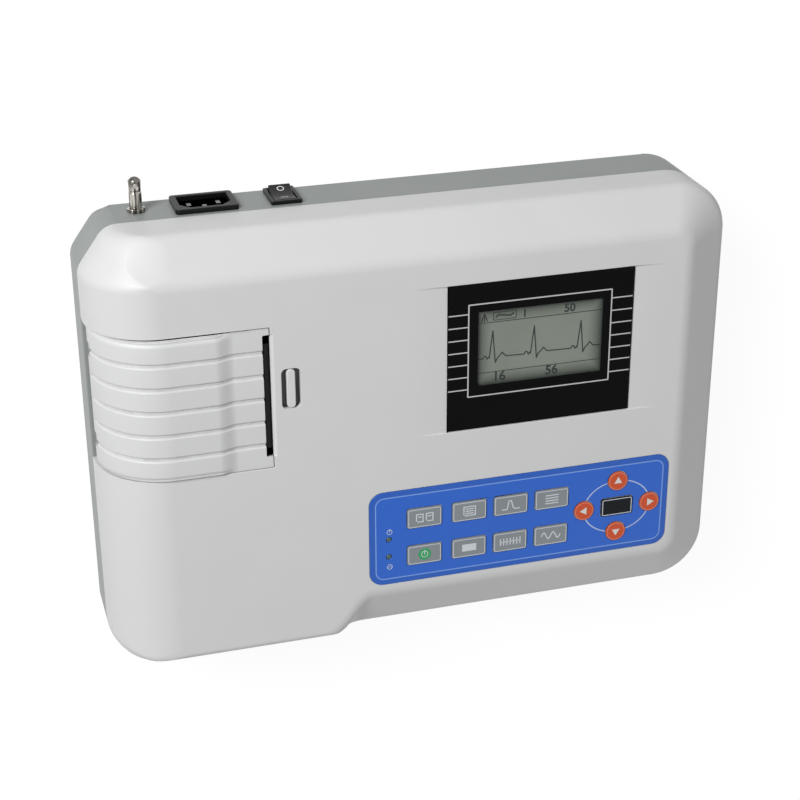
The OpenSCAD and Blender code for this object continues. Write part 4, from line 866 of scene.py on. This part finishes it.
def nearOutline(x, y, reach=3.4):  # of the plan, with its three round corners
    wide, deep = upperShell["wide"], upperShell["deep"]
    front, rear, left = (upperShell[name] for name in ("frontRight", "rearRight", "frontLeft"))
    for cx, cy, radius in ((wide - front, front, front), (wide - rear, deep - rear, rear),
                           (left, left, left)):
        if (x - cx) * (cx - 150) > 0 and (y - cy) * (cy - 110) > 0:
            return radius - hypot(x - cx, y - cy) < reach
    return min(x, wide - x, y, deep - y) < reach


def lowerEdges(x, y, z):  # those at the bottom, at the seam and round the lead socket
    return z < 5.2 or z < 8.3 and nearOutline(x, y) or \
        near(z, upperShell["seam"], 0.1) and nearOutline(x, y, 0.6) or x > 309 and 11 < z < 31


def latchEdges(x, y, z):  # all but the foot of the ridge, which has little room
    return not (near(z, 68.7, 0.1) and 88 < x < 94 and 132.5 < y < 154)


softOnly = dict(lower_case=lowerEdges, door_latch=latchEdges)


def carriedPiece(node, width, steps):  # a copy of the CAD node with its edges rounded
    u = upperShell
    piece = cleanCopy(node)
    if node == "lower_case":  # its upright edges at the rear left match the upper shell's
        tipX, tipY, bendY = u["taper"], u["deep"], u["deep"] - u["bandRear"]
        soften(piece, u["tipSoft"], 6, 20, lambda x, y, z: near(x, tipX, 0.2) and near(y, tipY, 0.2))
        soften(piece, u["taperSoft"], 4, 20, lambda x, y, z: near(x, 0, 0.2) and near(y, bendY, 0.2))
    return soften(piece, width, steps, 30, softOnly.get(node))


def panelPiece(node):  # a plate with its window cut out
    panel = block("panel", *[plan(corner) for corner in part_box(node)])
    window = [(*corner, z) for corner, z in zip(displayPanel["window"], (60, 80))]
    return soften(cutAway(panel, block("window", *window)), displayPanel["soft"])


for slot, nodes in slots.items():
    for node in nodes:
        if node == "display_panel":
            finishPiece(panelPiece(node), node + "_looks", bodyOf[node], slot, paints[slot], node)
        elif node in edgeSoft:
            finishPiece(carriedPiece(node, *edgeSoft[node]), node + "_looks", bodyOf[node], slot,
                        paints[slot], node)
        else:
            cadPiece = frame["nodes"][node]
            if not cadPiece.material_slots:
                cadPiece.data.materials.append(None)
            for materialSlot in cadPiece.material_slots:
                materialSlot.material = paints[slot]
print("carried pieces finished")


marks = dict(keyTop=72.4, sheetTop=71.8, screenTop=69.05, high=0.03, apart=0.004, lift=0.01,
             keyFrameHighlight=(16.9, 9.9, 0.9), keyLine=0.35, iconScale=1.25, iconLine=0.58, stopLine=4,
             powerDisc=3.3, powerRing=1.7, powerTick=2.1, powerLine=0.45,
             arrow=2.4, arrowRing=4.75, arrowLine=0.3, setFrameHighlight=(16, 9, 0.8), setLine=0.4,
             lampX=138.3, lampRing=1.3, lampLine=0.3,
             lamps=((58.6, ((138.3, 58.6), (138.3, 60.3))), (38.8, ((137.5, 38.8), (139.1, 38.8)))),
             letterScale=1.35, letterBold=0.16)
inks = dict(pale=printed("inkPale", 0.64, 0.68, 0.73), amber=printed("inkAmber", 0.72, 0.30, 0.20),
            green=printed("inkGreen", 0.02, 0.33, 0.10), dark=printed("inkDark", 0.006, 0.010, 0.009),
            white=printed("inkWhite", 0.72, 0.72, 0.70))


# Marks are thin plates on what carries them.
def bar(start, end, wide, low):
    a, b = Vector(start), Vector(end)
    middle, run = (a + b) / 2, b - a
    deselect()
    bpy.ops.mesh.primitive_cube_add(size=1, location=at(*middle, low + marks["high"] / 2),
                                    rotation=(0, 0, Vector((1, 0)).angle_signed(run) * -1),
                                    scale=((run.length + wide * 0.8) * mm, wide * mm, marks["high"] * mm))
    return named("bar")


def path(points, wide, low):  # bars that overlap lie a hair apart, so that none shades the next
    return [bar(a, b, wide, low + i % 3 * marks["apart"])
            for i, (a, b) in enumerate(zip(points, points[1:]))]


def boxed(left, front, right, rear):
    return [(left, front), (right, front), (right, rear), (left, rear), (left, front)]


def disc(x, y, radius, low, steps=32, turn=0):
    deselect()
    bpy.ops.mesh.primitive_cylinder_add(vertices=steps, radius=radius * mm, depth=marks["high"] * mm,
                                        location=at(x, y, low + marks["high"] / 2),
                                        rotation=(0, 0, radians(turn)))
    return named("disc")


def ringMark(x, y, radius, line, low):
    deselect()
    bpy.ops.mesh.primitive_torus_add(location=at(x, y, low + marks["high"] / 2), major_radius=radius * mm,
                                     minor_radius=line / 2 * mm, major_segments=40, minor_segments=6)
    bpy.context.object.scale.z = marks["high"] / line
    return named("ring")


# a pale frame printed round the top of a key, partly print and partly a painted highlight on the key's rim
def rimHighlightFrame(x, y, wide, deep, radius, line, low):
    outer = roundedBlock("rimHighlightFrame", (x, y), (wide, deep), radius, low, low + marks["high"], 4)
    inner = roundedBlock("hole", (x, y), (wide - 2 * line, deep - 2 * line), max(radius - line, 0.1),
                         low - 1, low + 1, 4)
    return cutAway(outer, inner)


def number(x, y, size, text, low):
    deselect()
    bpy.ops.object.text_add(location=(0, 0, 0))
    letters = bpy.context.object.data
    letters.body = text
    letters.size = size * marks["letterScale"] * mm
    letters.offset = marks["letterBold"] * mm
    letters.extrude = marks["high"] / 2 * mm
    bpy.ops.object.convert(target="MESH")
    bpy.context.object.location = at(x, y, low + marks["high"] / 2)
    return named("number")


def printOn(name, body, slot, ink, pieces):
    finishPiece(joined(name, *pieces), name, body, slot, inks[ink])


keyIcons = dict(
    key_lead=[boxed(-3.4, -1.7, -0.7, 1.7), boxed(0.7, -1.7, 3.4, 1.7), [(-2.6, 0.5), (-1.5, 0.5)],
              [(1.5, 0.5), (2.6, 0.5)]],
    key_start=[[(-2.4, -2), (-2.4, 2), (2.4, 2), (2.4, -2), (-2.4, -2)],
               *([(-1.5, y), (1.5, y)] for y in (1, 0, -1))],
    key_menu=[[(-3.6, -1.8), (-1.6, -1.8), (-0.9, 2), (0.1, 2), (0.9, -1), (1.6, -1.8), (3.6, -1.8)]],
    key_select=[[(-2.6, y), (2.6, y)] for y in (1.8, 0.6, -0.6, -1.8)],
    key_stop=[[(-1.7, 0), (1.7, 0)]],
    key_speed=[*([(x, -1.4), (x, 1.4)] for x in (-4.2, -2.8, -1.4, 0, 1.4, 2.8, 4.2)),
               *([(x - 1.1, 0), (x - 0.3, 0)] for x in (-2.8, -1.4, 0, 1.4, 2.8, 4.2))],
    key_filter=[[(x / 4, 1.5 * sin(x / 16 * 2 * pi)) for x in range(-16, 17, 2)]])


def printKeys():
    m = marks
    top, scale = m["keyTop"], m["iconScale"]
    for node in slots["key_grey"]:
        x, y = middleOf(node)
        # pale frame round the key's top: print, and a painted highlight on its rim
        strokes = [rimHighlightFrame(x, y, *m["keyFrameHighlight"], m["keyLine"], top)]
        wide = m["stopLine"] if node == "key_stop" else m["iconLine"]
        for line in keyIcons.get(node, []):
            strokes += path([(x + scale * px, y + scale * py) for px, py in line], wide, top)
        if node == "key_power":
            printOn("powerDisc", bodyOf[node], "key_grey", "green", [disc(x, y, m["powerDisc"], top)])
            strokes.append(ringMark(x, y, m["powerRing"], m["powerLine"], top + m["lift"]))
            strokes += path([(x, y), (x, y + m["powerTick"])], m["powerLine"], top + m["lift"])
        printOn(node + "_marks", bodyOf[node], "key_grey", "pale", strokes)
    for node, turn in (("key_up", 0), ("key_down", 180), ("key_left", 90), ("key_right", 270)):
        x, y = middleOf(node)
        arrow = disc(x, y, m["arrow"], top, 3, turn)
        printOn(node + "_marks", bodyOf[node], "key_orange", "white", [arrow])
        ring = ringMark(x, y, m["arrowRing"], m["arrowLine"], top)
        printOn(node + "_ring", bodyOf[node], "key_orange", "amber", [ring])
    # pale frame round the set key's top: print, and a painted highlight on its rim
    setFrameHighlight = rimHighlightFrame(*middleOf("key_set"), *m["setFrameHighlight"], m["setLine"], top)
    printOn("key_set_marks", bodyOf["key_set"], "key_black", "pale", [setFrameHighlight])


def printLamps():
    strokes = []
    for y, tick in marks["lamps"]:
        strokes.append(ringMark(marks["lampX"], y, marks["lampRing"], marks["lampLine"], marks["sheetTop"]))
        strokes += path(tick, marks["lampLine"], marks["sheetTop"])
    printOn("lampMarks", "case", "keypad_blue", "pale", strokes)


screen = dict(
    topLine=163.9, lowLine=137.8, ruleLine=0.38, base=145.2, beats=(190.8, 211.9, 236.0), line=0.62,
    beat=((-4.4, 0), (-3.6, 1.3), (-2.9, 1.2), (-2.2, -0.3), (-1.5, 0.7), (-1.1, 0.2), (0.5, 14.2),
          (2.0, -2.6), (3.0, -0.3), (4.4, 1.0), (5.4, 2.4), (6.3, 1.4), (7.4, 0.3)),
    numbers=((206, 164.9, 4.0, "1"), (227.5, 164.9, 4.3, "50"), (191.6, 132.9, 4.9, "16"),
             (218.6, 132.9, 4.9, "56")),
    icons=((0.35, boxed(191.5, 164.9, 203, 168.7)),
           (0.8, ((192.8, 166.4), (194, 167.5), (200, 166.5), (201.6, 167.6))),
           (0.6, ((185.6, 164.9), (187, 168.5), (188.4, 164.9))), (0.6, ((187, 164.7), (187, 168.1)))))


def printScreen():  # a heart trace between two rules, with small numbers and icons
    s, low = screen, marks["screenTop"]
    left, right = (corner[0] for corner in displayPanel["window"])
    trace = [(left + 0.4, s["base"])]
    for place in s["beats"]:
        trace += [(place + px, s["base"] + py) for px, py in s["beat"] if place + px < right - 0.5]
    trace.append((right - 0.4, s["base"]))
    drawn = path(trace, s["line"], low)
    for y in (s["topLine"], s["lowLine"]):
        drawn += path([(left + 0.3, y), (right - 0.3, y)], s["ruleLine"], low)
    drawn += [number(*entry, low) for entry in s["numbers"]]
    for line, points in s["icons"]:
        drawn += path(points, line, low)
    printOn("screenPicture", "case", "lcd", "dark", drawn)


rocker = dict(pivot=(100.7, 220, 21.4), lean=9, half=8, high=3.2, proud=2.5, markAt=4.4,
              markLine=0.55, markLow=0.02, ring=1.5, stroke=1.6)


def onRocker(obj, side):  # lays a flat mark on the upper or lower face of the rocker
    r = rocker
    face = degrees(atan2(r["high"] / 2, r["half"]))
    obj.matrix_world = (Matrix.Translation(at(*r["pivot"])) @ Matrix.Rotation(radians(r["lean"]), 4, "X") @
                        Matrix.Translation((0, r["proud"] * mm, side * r["markAt"] * mm)) @
                        Matrix.Rotation(radians(-90 - side * face), 4, "X") @
                        Matrix.Translation(-at(0, 0, 0)))
    return applied(obj)


def printRocker():
    r = rocker
    ring = onRocker(ringMark(0, 0, r["ring"], r["markLine"], r["markLow"]), -1)
    stroke = onRocker(bar((-r["stroke"], 0), (r["stroke"], 0), r["markLine"], r["markLow"]), 1)
    printOn("rockerMarks", "rocker", "black_rocker", "white", [ring, stroke])


printKeys()
printLamps()
printScreen()
printRocker()
print("marks printed")


studio = dict(floorSize=6, floorZ=-0.0002, floorGlow=1.32, floorShare=0.7,
              keyTowards=(-0.574, 0.545, 0.605), keyAway=2.2, keyPower=44, keySize=0.9,
              fillTowards=(0.5, -0.75, 0.35), fillAway=2.0, fillPower=3.2, fillSize=1.2,
              around=0.28, shown=1.0)


def makeFloor():
    deselect()
    bpy.ops.mesh.primitive_plane_add(size=studio["floorSize"], location=(0, 0, studio["floorZ"]))
    floor = named("floor")
    paint = Paint("paleFloor")
    cloud = paint.noise(60, 4)
    paint.finish(paint.tint(cloud, toned(0.36, 0.36, 0.36), toned(0.40, 0.40, 0.40)),
                 cloud * 0.1 + 0.75, paint.noise(1.5), 0.02, Specular_IOR_Level=0.1)
    glow = paint.node("Emission", dict(), Strength=studio["floorGlow"])
    share, plain = paint.seenByEye() * studio["floorShare"], Field(paint, paint.shader.outputs[0])
    mix = paint.node("MixShader", dict(), share, plain, glow)
    paint.tree.links.new(mix.socket, paint.tree.nodes["Material Output"].inputs["Surface"])
    floor.data.materials.append(paint.material)


def makeLamp(name):
    light = bpy.data.lights.new(name + "Lamp", "AREA")
    light.energy, light.size = studio[name + "Power"], studio[name + "Size"]
    lamp = linked(name + "Lamp", light)
    towards = Vector(studio[name + "Towards"]).normalized()
    lamp.location = towards * studio[name + "Away"]
    lamp.rotation_mode = "QUATERNION"
    lamp.rotation_quaternion = towards.to_track_quat("Z", "Y")


def makeWorld():  # white where the eye sees it, and dimmer as light on the object
    world = bpy.data.worlds.new("studio")
    bpy.context.scene.world = world
    sky = Nodes(world)
    background = sky.tree.nodes["Background"].inputs
    background["Color"].default_value = (1, 1, 1, 1)
    strength = sky.node("MapRange", dict(), sky.seenByEye(),
                        **{"To Min": studio["around"], "To Max": studio["shown"]})
    sky.tree.links.new(strength.socket, background["Strength"])


makeFloor()
makeLamp("key")
makeLamp("fill")
makeWorld()
bpy.context.scene.view_settings.view_transform = "Standard"
deselect()
print("stage set")
